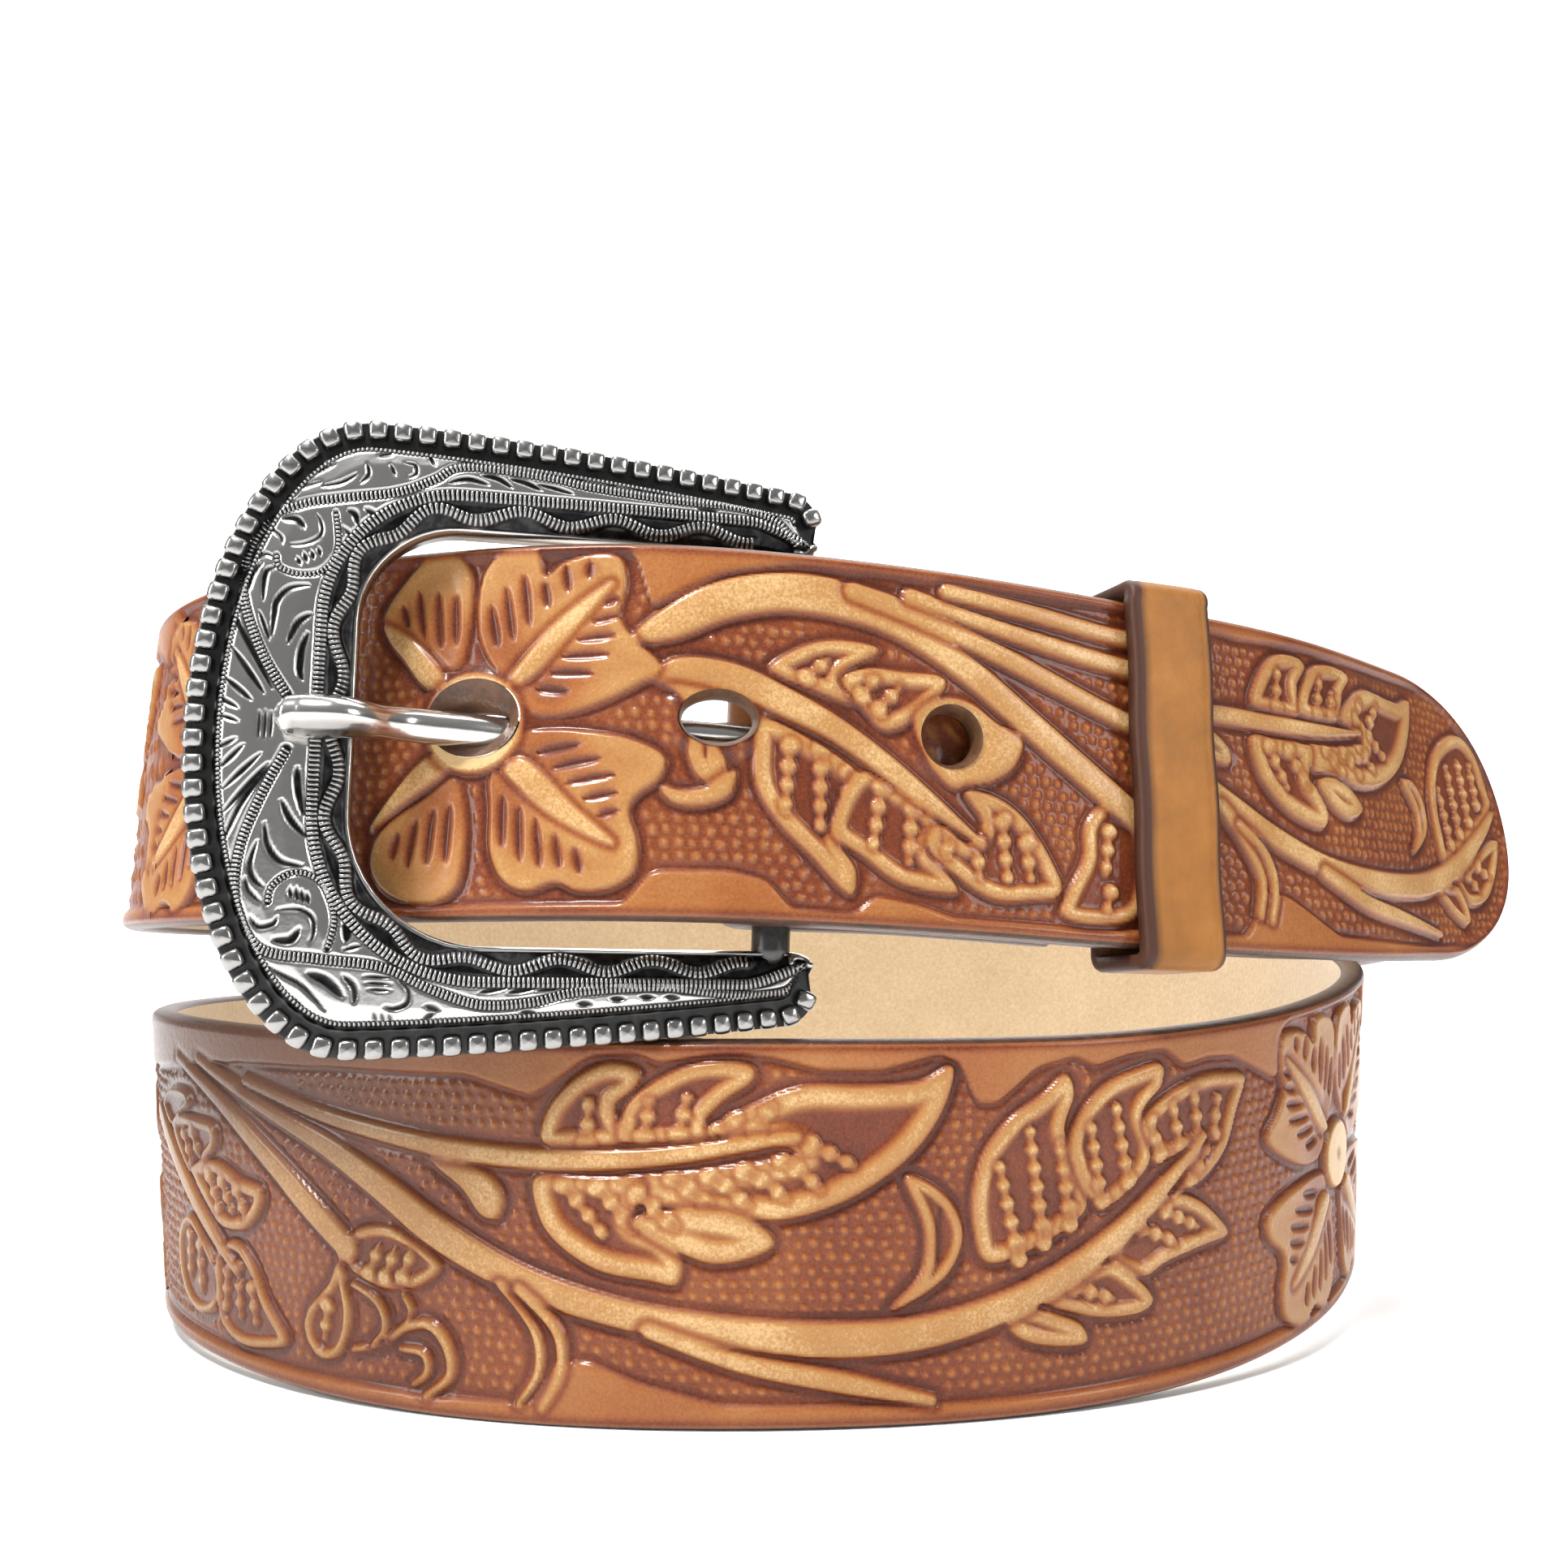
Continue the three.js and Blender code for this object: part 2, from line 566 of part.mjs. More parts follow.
// Domed section of the frame: across is the share from the window to the outside,
// height the share of FRAME_CROWN over the middle plane
const FRAME_SECTION = [
  { across: 0.0, height: 0.28 },
  { across: 0.1, height: 0.62 },
  { across: 0.35, height: 0.94 },
  { across: 0.6, height: 1.0 },
  { across: 0.78, height: 0.76 },
  { across: 0.87, height: 0.42 },
  { across: 1.0, height: 0.4 },
];

function frameRing({ outer, inner }) {
  const front = FRAME_SECTION.map(({ across, height }) => {
    const flat = inner.clone().lerp(outer, across);
    return buckleBend(flat.x, flat.y, height * FRAME_CROWN);
  });
  const back = [buckleBend(outer.x, outer.y, FRAME_BACK), buckleBend(inner.x, inner.y, FRAME_BACK)];
  return [...front, ...back];
}

// Beads stand along the outer edge and round the ends of the arms
function beadPlaces() {
  const outline = allSpokes().map(({ outer }) => outer);
  const distances = [0];
  for (let i = 1; i < outline.length; i++) distances.push(distances[i - 1] + outline[i].distanceTo(outline[i - 1]));
  const length = distances[distances.length - 1];
  const count = Math.round(length / BEAD_PITCH);
  return Array.from({ length: count }, (_, i) => {
    const at = ((i + 0.5) * length) / count;
    const pick = (offset) => new THREE.Vector2(
      interpolate(distances, outline.map((p) => p.x), at + offset),
      interpolate(distances, outline.map((p) => p.y), at + offset),
    );
    const place = pick(0);
    const run = pick(0.5).sub(pick(-0.5));
    return { place, angle: Math.atan2(run.y, run.x) };
  });
}

function bead({ place, angle }) {
  const geometry = new THREE.SphereGeometry(1, 6, 3);
  geometry.rotateX(Math.PI / 2);
  geometry.scale(BEAD_LENGTH / 2, BEAD_RADIUS * 0.85, BEAD_RADIUS);
  geometry.rotateZ(angle);
  geometry.translate(place.x, place.y, FRAME_CROWN * 0.3);
  const position = geometry.attributes.position;
  for (let i = 0; i < position.count; i++) {
    const point = buckleBend(position.getX(i), position.getY(i), position.getZ(i));
    position.setXYZ(i, point.x, point.y, point.z);
  }
  return asSolid(geometry);
}

// The bar runs across the strap, in the middle of its fold, into both arms
function barSolid() {
  const length = 2 * (WINDOW_HALF_HEIGHT + FRAME_SAG + BAR_SEAT);
  const geometry = new THREE.CylinderGeometry(BAR_RADIUS, BAR_RADIUS, length, 16);
  const basis = new THREE.Matrix4().makeBasis(BAR_FRAME.along, BAR_FRAME.across, BAR_FRAME.out);
  basis.setPosition(middleOf(BAR_FRAME).addScaledVector(BAR_FRAME.out, -FOLD_RADIUS));
  geometry.applyMatrix4(basis);
  return asSolid(geometry);
}

function buckleGeometry() {
  let solid = asSolid(loft(allSpokes().map(frameRing)));
  solid = solid.add(barSolid());
  beadPlaces().forEach((place) => {
    solid = solid.add(bead(place));
  });
  return asGeometry(solid.simplify(SMALLEST_EDGE));
}

// Thickness along the prong: share of its length from the hook's end to the tip
const PRONG_PROFILE = [
  { along: 0, radius: PRONG_ROOT_RADIUS * 0.75 },
  { along: 0.04, radius: PRONG_ROOT_RADIUS },
  { along: 0.34, radius: PRONG_ROOT_RADIUS },
  { along: 0.5, radius: PRONG_SHANK_RADIUS },
  { along: 0.8, radius: PRONG_SHANK_RADIUS },
  { along: 0.9, radius: PRONG_NECK_RADIUS },
  { along: 0.965, radius: PRONG_TIP_RADIUS },
  { along: 1, radius: PRONG_TIP_RADIUS * 0.3 },
];

// Prong: hooked round the bar, under the tip run, up through its hole and on to the band
function prongPath() {
  const hookRadius = BAR_RADIUS + PRONG_CLEARANCE + PRONG_ROOT_RADIUS;
  const barMiddle = middleOf(BAR_FRAME).addScaledVector(BAR_FRAME.out, -FOLD_RADIUS);
  const around = (degrees) => {
    const angle = THREE.MathUtils.degToRad(degrees);
    return barMiddle.clone()
      .addScaledVector(BAR_FRAME.along, -hookRadius * Math.sin(angle))
      .addScaledVector(BAR_FRAME.out, hookRadius * Math.cos(angle));
  };
  const bar = distanceAt(720 + BAR_BEARING);
  const overRun = (distance, lift, raise) => {
    const frame = runFrame(bearingAt(distance));
    return middleOf(frame).addScaledVector(frame.out, lift).addScaledVector(frame.across, raise);
  };
  const onBand = (side, lift) => {
    return buckleBend(side, FRAME_SAG, FRAME_CROWN + PRONG_CLEARANCE + PRONG_NECK_RADIUS + lift);
  };
  const under = -(STRAP_THICKNESS / 2 + PRONG_CLEARANCE + PRONG_SHANK_RADIUS);
  return [
    ...PRONG_HOOK_DEG.map(around),
    overRun(bar - 11, under, HOLE_RAISE * 0.4),
    overRun(HOLE_IN_USE + 5.9, under - 0.5, HOLE_RAISE),
    overRun(HOLE_IN_USE + 2.4, under * 0.52, HOLE_RAISE),
    overRun(HOLE_IN_USE - 1.2, -under * 0.35, HOLE_RAISE),
    overRun(HOLE_IN_USE - 5.3, -under * 1.2, HOLE_RAISE),
    onBand(-WINDOW_REACH - 0.5, 0.3),
    onBand(2.2 - PRONG_REACH, 0.1),
    onBand(-PRONG_REACH, -0.2),
  ];
}

function prongGeometry() {
  const curve = new THREE.CatmullRomCurve3(prongPath(), false, 'centripetal');
  const shares = PRONG_PROFILE.map((row) => row.along);
  const radii = PRONG_PROFILE.map((row) => row.radius);
  const rings = Array.from({ length: PRONG_STEPS + 1 }, (_, i) => {
    const centre = curve.getPointAt(i / PRONG_STEPS);
    const along = curve.getTangentAt(i / PRONG_STEPS);
    const out = along.clone().cross(BUCKLE.up).normalize();
    const across = out.clone().cross(along).normalize();
    const radius = interpolate(shares, radii, i / PRONG_STEPS);
    return Array.from({ length: PRONG_SIDES }, (_, k) => {
      const angle = (2 * Math.PI * k) / PRONG_SIDES;
      return centre.clone()
        .addScaledVector(across, radius * Math.cos(angle))
        .addScaledVector(out, -radius * Math.sin(angle));
    });
  });
  return asGeometry(asSolid(loft(rings)));
}

// Keeper: a plain leather loop round both layers
function roundedLoop(width, height, radius) {
  const shape = new THREE.Path();
  const x = width / 2 - radius;
  const y = height / 2 - radius;
  shape.absarc(x, y, radius, 0, Math.PI / 2);
  shape.absarc(-x, y, radius, Math.PI / 2, Math.PI);
  shape.absarc(-x, -y, radius, Math.PI, 1.5 * Math.PI);
  shape.absarc(x, -y, radius, 1.5 * Math.PI, 2 * Math.PI);
  return shape;
}

function keeperGeometry() {
  const inner = runFrame(KEEPER_BEARING);
  const tip = runFrame(720 + KEEPER_BEARING);
  const depth = 2 * STRAP_THICKNESS + LAYER_CLEARANCE + 2 * KEEPER_CLEARANCE;
  const height = STRAP_WIDTH + 2 * KEEPER_CLEARANCE;
  const wall = 2 * KEEPER_THICKNESS;
  const outline = roundedLoop(depth + wall, height + wall, KEEPER_INNER_RADIUS + KEEPER_THICKNESS).getPoints(4);
  const shape = new THREE.Shape(outline);
  const hollow = roundedLoop(depth, height, KEEPER_INNER_RADIUS).getPoints(4);
  shape.holes.push(new THREE.Path(hollow));
  const geometry = new THREE.ExtrudeGeometry(shape, {
    depth: KEEPER_WIDTH,
    bevelEnabled: true,
    bevelSize: KEEPER_EDGE_ROUND,
    bevelThickness: KEEPER_EDGE_ROUND,
    bevelOffset: -KEEPER_EDGE_ROUND,
    bevelSegments: 1,
  });
  geometry.translate(0, 0, -KEEPER_WIDTH / 2);
  const centre = middleOf(inner).add(middleOf(tip)).multiplyScalar(0.5);
  const tilt = THREE.MathUtils.degToRad(KEEPER_TILT_DEG);
  const up = inner.across.clone().applyAxisAngle(inner.out, tilt);
  const along = inner.along.clone().applyAxisAngle(inner.out, tilt);
  const basis = new THREE.Matrix4().makeBasis(inner.out, up, along.negate());
  basis.setPosition(centre);
  geometry.applyMatrix4(basis);
  return asGeometry(asSolid(geometry));
}

// Looks of the materials
const toolingTan = { color: 0xb5713a, roughness: 0.45, metalness: 0 };
const plainTan = { color: 0xbe8e4e, roughness: 0.5, metalness: 0 };
const antiqueSilver = { color: 0x9a9894, roughness: 0.3, metalness: 1 };
const brightSilver = { color: 0xc4bfb8, roughness: 0.22, metalness: 1 };
const studSteel = { color: 0x8e8c88, roughness: 0.4, metalness: 1 };

function piece(name, geometry, look) {
  const mesh = new THREE.Mesh(geometry, new THREE.MeshStandardMaterial(look));
  mesh.name = name;
  return mesh;
}

const group = new THREE.Group();
group.add(piece('strap', strapGeometry(), toolingTan));
group.add(piece('buckle_frame', buckleGeometry(), antiqueSilver));
group.add(piece('prong', prongGeometry(), brightSilver));
group.add(piece('keeper', keeperGeometry(), plainTan));
studHeights().forEach((height, i) => {
  group.add(piece(`fold_stud_${i + 1}`, studGeometry(height), studSteel));
});

// The origin is under the middle of the belt, on the surface that it stands on
const box = new THREE.Box3().setFromObject(group, true);
const middle = box.getCenter(new THREE.Vector3());
group.position.set(-middle.x, -middle.y, -box.min.z);
group.updateMatrixWorld(true);

export default group;
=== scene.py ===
import math

import bpy
import numpy as np
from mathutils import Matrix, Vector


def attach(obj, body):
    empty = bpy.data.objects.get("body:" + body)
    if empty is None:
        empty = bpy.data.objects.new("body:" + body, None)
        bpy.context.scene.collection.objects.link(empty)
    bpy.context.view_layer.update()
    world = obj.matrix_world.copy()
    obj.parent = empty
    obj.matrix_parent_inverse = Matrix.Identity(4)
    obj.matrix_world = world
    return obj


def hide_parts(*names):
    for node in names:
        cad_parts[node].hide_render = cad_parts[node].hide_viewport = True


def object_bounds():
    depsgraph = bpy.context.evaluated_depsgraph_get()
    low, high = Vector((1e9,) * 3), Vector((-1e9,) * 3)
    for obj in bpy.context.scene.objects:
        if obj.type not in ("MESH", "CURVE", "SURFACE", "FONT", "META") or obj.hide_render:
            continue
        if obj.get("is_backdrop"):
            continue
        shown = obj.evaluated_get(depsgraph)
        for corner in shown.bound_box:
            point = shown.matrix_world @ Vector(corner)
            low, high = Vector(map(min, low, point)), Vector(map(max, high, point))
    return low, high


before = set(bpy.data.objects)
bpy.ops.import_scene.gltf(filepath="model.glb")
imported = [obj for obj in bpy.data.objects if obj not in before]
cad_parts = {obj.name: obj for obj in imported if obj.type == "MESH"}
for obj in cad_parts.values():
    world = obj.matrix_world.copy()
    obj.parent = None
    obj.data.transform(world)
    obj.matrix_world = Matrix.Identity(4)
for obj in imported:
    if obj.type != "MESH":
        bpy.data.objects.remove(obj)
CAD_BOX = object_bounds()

# Lengths are in millimetres, and each mesh is scaled to metres when it is made.
MM = 0.001
UP = np.array([0.0, 0.0, 1.0])
# Degrees from the lower layer to the tip run over it
TWO_TURNS = 720

# Strap
STRAP_WIDTH = 38.0
STRAP_THICKNESS = 3.0
EDGE_ROUND = 0.9
LOOP_REACH = 84.0
TURN_RISE = STRAP_WIDTH + 11.5
LAYER_PITCH = STRAP_THICKNESS + 0.6
BAR_BEARING = 1.0
BAR_RADIUS = 2.0
FOLD_RADIUS = BAR_RADIUS + 0.3 + STRAP_THICKNESS / 2
FOLD_TAIL = 32.0
FOLD_PINCH = 15.0
TIP_ROUND_LENGTH = 26.0
TIP_ROUND_POWER = 2.05
HOLE_PITCH = 24.2
HOLE_RAISE = 1.2
HOLE_FROM_BAND = 11.04
HOLES = [
    {"from_prong": 2, "long": 6.8, "high": 6.8},
    {"from_prong": 1, "long": 8.0, "high": 5.8},
    {"from_prong": 0, "long": 9.8, "high": 8.0},
    {"from_prong": -1, "long": 6.2, "high": 6.2},
    {"from_prong": -2, "long": 6.2, "high": 6.2},
]

# Buckle
FRAME_REACH = 57.5
FRAME_BAND_WIDTH = 14.8
WINDOW_REACH = FRAME_REACH - FRAME_BAND_WIDTH

# Camera, in the route's own millimetres
CAMERA_EYE = np.array([2.03, -231.24, 45.64])
CAMERA_PITCH = 6.94
CAMERA_SENSOR = 36.0
FOCAL_PIXELS = 1800
PICTURE_PIXELS = 1932
CAMERA_LENS = CAMERA_SENSOR * FOCAL_PIXELS / PICTURE_PIXELS

# Where the route's own middle lies in the frame
ROUTE_SHIFT = np.array([-8.654, 4.906, -0.063])

# Route of the strap. bearing: degrees round the middle, 0 at the front, growing to the right.
# reach: share of LOOP_REACH, rise: share of TURN_RISE, lean: degrees, + with the top outwards.
ROUTE_COLUMNS = ("bearing", "reach", "layer", "rise", "lean")
FRONT_RUN = [
    (-8, 1.025, 0, 1.0, -2.0),
    (0, 0.995, 0, 0.994, -2.0),
    (14, 0.963, 0, 0.974, -2.2),
    (28, 0.97, 0, 0.948, -2.7),
    (42, 1.01, 0, 0.93, -3.6),
]
TURNS = [
    (56, 1.043, 0, 0.927, -4.5),
    (78, 1.062, 0, 0.917, -4.2),
    (100, 1.051, 0, 0.848, -3.0),
    (125, 1.043, 0, 0.6, -1.0),
    (150, 1.029, 0, 0.29, 0.3),
    (172, 1.014, 0, 0.075, 1.5),
    (192, 0.993, 0, 0.006, 2.5),
    (215, 0.964, 0, 0.005, 3.5),
    (240, 0.939, 0, 0.036, 4.5),
    (262, 0.935, 0, 0.055, 5.1),
    (285, 0.986, 0, 0.044, 5.2),
    (310, 1.008, 0, 0.026, 5.0),
    (335, 0.987, 0, 0.0, 3.0),
    (360, 0.961, 0, 0.0, 2.0),
    (385, 0.963, 0, 0.004, 2.6),
    (410, 0.979, 0, 0.061, 3.3),
    (435, 0.976, 0, 0.16, 4.4),
    (460, 0.98, -0.5, 0.248, 5.0),
    (485, 0.994, -1, 0.343, 3.5),
    (515, 0.992, -1, 0.444, 1.3),
    (545, 0.971, -1, 0.556, -0.3),
    (575, 0.943, -1, 0.733, -2.2),
    (600, 0.93, -1, 0.919, -4.0),
    (618, 0.952, -0.5, 0.99, -5.0),
    (635, 0.988, 0, 1.0, -4.6),
    (657, 1.086, 0, 1.0, -4.0),
    (680, 1.125, 0, 1.0, -2.8),
    (700, 1.074, 0.5, 1.0, -2.2),
]
TIP_RUN = [
    (775, 1.06, 1, 0.923, -5.6),
    (787, 1.139, 1, 0.921, -7.8),
    (795, 1.236, 1, 0.9, -8.6),
]
TIP_LAYER_RUN = [(bearing + TWO_TURNS, reach, 1, rise, lean)
                 for bearing, reach, _, rise, lean in FRONT_RUN]
ROUTE = FRONT_RUN + TURNS + TIP_LAYER_RUN + TIP_RUN


def through_rows(column):
    """A natural cubic spline through one column of the route."""
    x = np.array([row[0] for row in ROUTE], float)
    y = np.array([row[ROUTE_COLUMNS.index(column)] for row in ROUTE], float)
    count, gap = len(x), np.diff(x)
    system, wanted = np.eye(count), np.zeros(count)
    for i in range(1, count - 1):
        system[i, i - 1:i + 2] = gap[i - 1], 2 * (gap[i - 1] + gap[i]), gap[i]
        wanted[i] = 6 * ((y[i + 1] - y[i]) / gap[i] - (y[i] - y[i - 1]) / gap[i - 1])
    bend = np.linalg.solve(system, wanted)

    def at(bearing):
        bearing = np.asarray(bearing, float)
        k = np.clip(np.searchsorted(x, bearing) - 1, 0, count - 2)
        a = (x[k + 1] - bearing) / gap[k]
        b = 1 - a
        cubic = ((a ** 3 - a) * bend[k] + (b ** 3 - b) * bend[k + 1]) * gap[k] ** 2
        return a * y[k] + b * y[k + 1] + cubic / 6

    return at


reach_at, layer_at, rise_at, lean_at = (through_rows(c) for c in ROUTE_COLUMNS[1:])
SLOPE_STEP = 0.25


def unit(vectors):
    return vectors / np.linalg.norm(vectors, axis=-1, keepdims=True)


def turned(vectors, axis, degrees):
    """Vectors turned about an axis that they are square to."""
    angle = np.radians(degrees)[..., None]
    return vectors * np.cos(angle) + np.cross(axis, vectors) * np.sin(angle)


def plan_point(bearing):
    angle = np.radians(bearing)
    reach = reach_at(bearing) * LOOP_REACH
    return np.stack([reach * np.sin(angle), -reach * np.cos(angle), 0 * reach], -1)


def lower_edge(bearing):
    out = unit(np.cross(plan_point(bearing + SLOPE_STEP) - plan_point(bearing - SLOPE_STEP), UP))
    point = plan_point(bearing) + out * (layer_at(bearing) * LAYER_PITCH)[..., None]
    point[..., 2] = rise_at(bearing) * TURN_RISE
    return point


def run_frame(bearing):
    """Origin at the lower edge, then the directions along, across and out of the grain side."""
    bearing = np.atleast_1d(np.asarray(bearing, float))
    along = unit(lower_edge(bearing + SLOPE_STEP) - lower_edge(bearing - SLOPE_STEP))
    out = unit(np.cross(along, UP))
    across = np.cross(out, along)
    lean = lean_at(bearing)
    return lower_edge(bearing), along, turned(across, along, lean), turned(out, along, lean)


# Distances along the middle of the run, from the bar to the tip
RUN_PLACES = 3200
RUN_BEARINGS = np.linspace(BAR_BEARING, ROUTE[-1][0], RUN_PLACES)


def measured_run():
    origin, _, across, _ = run_frame(RUN_BEARINGS)
    middle = origin + across * STRAP_WIDTH / 2
    return np.concatenate([[0], np.cumsum(np.linalg.norm(np.diff(middle, axis=0), axis=1))])


RUN_DISTANCES = measured_run()
RUN_LENGTH = RUN_DISTANCES[-1]


def bearing_at(distance):
    return np.interp(distance, RUN_DISTANCES, RUN_BEARINGS)


def distance_at(bearing):
    return float(np.interp(bearing, RUN_BEARINGS, RUN_DISTANCES))


PRONG_HOLE = distance_at(TWO_TURNS + BAR_BEARING) - (WINDOW_REACH - HOLE_FROM_BAND)


def tip_half_width(from_tip):
    share = np.clip(1 - from_tip / TIP_ROUND_LENGTH, 0, 1)
    return STRAP_WIDTH / 2 * (1 - share ** TIP_ROUND_POWER) ** (1 / TIP_ROUND_POWER)


def in_frame(points):
    """Route millimetres to the frame's metres."""
    return (np.asarray(points) + ROUTE_SHIFT) * MM


def smoothstep(low, high, value):
    share = np.clip((value - low) / (high - low), 0, 1)
    return share * share * (3 - 2 * share)


# Meshes


def new_object(name, vertices, faces, materials, slots=None):
    mesh = bpy.data.meshes.new(name)
    vertices = np.asarray(vertices, np.float32)
    faces = np.asarray(faces, np.int32)
    mesh.vertices.add(len(vertices))
    mesh.vertices.foreach_set("co", vertices.ravel())
    mesh.loops.add(faces.size)
    mesh.loops.foreach_set("vertex_index", faces.ravel())
    mesh.polygons.add(len(faces))
    mesh.polygons.foreach_set("loop_start", np.arange(len(faces), dtype=np.int32) * faces.shape[1])
    for material in materials:
        mesh.materials.append(material)
    if slots is not None:
        mesh.polygons.foreach_set("material_index", np.asarray(slots, np.int32))
    mesh.polygons.foreach_set("use_smooth", np.ones(len(faces), bool))
    mesh.update(calc_edges=True)
    mesh.validate()
    item = bpy.data.objects.new(name, mesh)
    bpy.context.scene.collection.objects.link(item)
    return item


def set_attribute(item, name, values):
    layer = item.data.attributes.new(name, "FLOAT", "POINT")
    layer.data.foreach_set("value", np.asarray(values, np.float32).ravel())


def worn_by_root(item, slot_name, *nodes):
    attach(item, "root")
    if nodes:
        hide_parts(*nodes)


def grid_faces(rows, columns, closed_columns=False):
    """Quads of a grid of rows by columns of vertices."""
    row = np.arange(rows - 1)[:, None] * columns
    column = np.arange(columns if closed_columns else columns - 1)[None]
    after = (column + 1) % columns
    corners = [row + column, row + columns + column, row + columns + after, row + after]
    return np.stack(corners, -1).reshape(-1, 4)


# Tooling. Places on the strap are (distance along, height across).
# A stem row is (along, height, half width). A rib runs from one place to another.

RECESS_DEPTH = 0.55
SOFTENING = 1.1
SOFTENING_WIDTH = 0.75
SOFTENING_STEPS = 7
DOT_PITCH_ALONG = 1.42
DOT_PITCH_ACROSS = 1.28
UNIT_LENGTH = 191.0
LOWER_SPAN = (440.0, 632.0)
TIP_SPAN_START = 1008.0

# Borders of the sunk ground of one repeat, as seen on the lower turn
LOWER_TOP_BORDER = [
    (440, 31), (460, 32.5), (475, 34), (490, 34.5), (506, 34.5), (513, 32.5), (515.5, 34), (519, 36.5),
    (523.5, 37), (526, 35.8), (529, 36.2), (533, 36.8), (537, 36.3), (542, 35), (548, 35), (554, 36.6),
    (556.5, 35), (557.5, 31.5), (560, 31.5), (564.5, 35), (569, 36), (571.5, 34.8), (576, 35.8), (581, 36),
    (583.5, 34), (587, 34.5), (591, 34.3), (595, 32.5), (599.5, 30.3), (600.3, 35.5), (603, 37), (632, 37),
]
LOWER_BOTTOM_BORDER = [
    (440, 2), (484, 2), (506, 2.2), (513, 2.2), (515.5, 6.5), (519, 6.5), (524, 4.5), (532, 2.5), (560, 2),
    (632, 2),
]
TIP_TOP_BORDER = [
    (1005, 36.8), (1046, 37.3), (1047.3, 34), (1047.6, 31), (1050, 32), (1055, 35), (1062, 36.6),
    (1096, 36.8), (1109, 36.5), (1116, 36), (1126, 36.6), (1155, 36.6), (1181, 36.6),
]
TIP_BOTTOM_BORDER = [
    (1005, 1.2), (1046, 1.6), (1048.5, 4.8), (1056, 5), (1060, 4.2), (1062.5, 1.5), (1069, 1.2),
    (1071, 3.2), (1076, 2.6), (1080, 1.5), (1096, 1.5), (1104, 2), (1115, 2), (1118, 7.5), (1122, 6.5),
    (1130, 2.5), (1150, 1.5), (1181, 1.5),
]

LOWER_STEMS = [
    [(450, 26, 1.3), (458, 21, 1.2), (466, 15.8, 1.0), (474, 10.8, 0.5)],
    [(460, 33.3, 0.6), (470, 29.6, 0.9), (480, 24, 1.2), (486, 20, 1.4), (492, 15.8, 1.3)],
    [(466, 33.5, 0.6), (478, 29.8, 0.9), (488, 26.5, 1.2), (496, 22.6, 1.5), (503, 18.4, 1.7),
     (512, 14.2, 1.5), (522, 11.3, 1.4), (532, 9.6, 1.5), (542, 8.7, 1.7), (552, 9.1, 1.6),
     (562, 11.6, 1.4), (572, 16.2, 1.2), (580, 21.5, 0.9), (586, 26, 0.4)],
    [(476, 32, 0.6), (488, 29.4, 0.8), (497, 27.9, 0.9), (505, 26.8, 1.0), (515, 26.1, 1.0),
     (525, 26.4, 0.9), (534, 27.6, 0.7), (539.5, 28.4, 0.3)],
    [(510, 13.6, 0.4), (513.5, 9.5, 0.5), (514, 5.5, 0.5), (512, 2.3, 0.3)],
    [(512, 13.2, 0.5), (515.8, 9.5, 0.6), (516.2, 5.5, 0.5), (514.4, 2, 0.3)],
    [(525, 9.6, 0.7), (534, 6.6, 0.9), (544, 4.6, 1.0), (553, 2.6, 0.5)],
    [(493, 5.6, 0.3), (497.5, 7, 0.4), (500, 10, 0.4), (499, 12, 0.2)],
    [(497, 7.4, 0.3), (501.5, 9.2, 0.5), (504, 7.6, 0.6), (504.6, 4.4, 0.5), (502, 2.2, 0.3)],
    [(499, 6.4, 0.3), (501.6, 6.2, 0.4), (502, 4.4, 0.4), (500.4, 3, 0.2)],
    [(492.8, 12.2, 0.3), (496, 10.8, 0.4), (497, 8.4, 0.4), (495.6, 6.6, 0.2)],
]

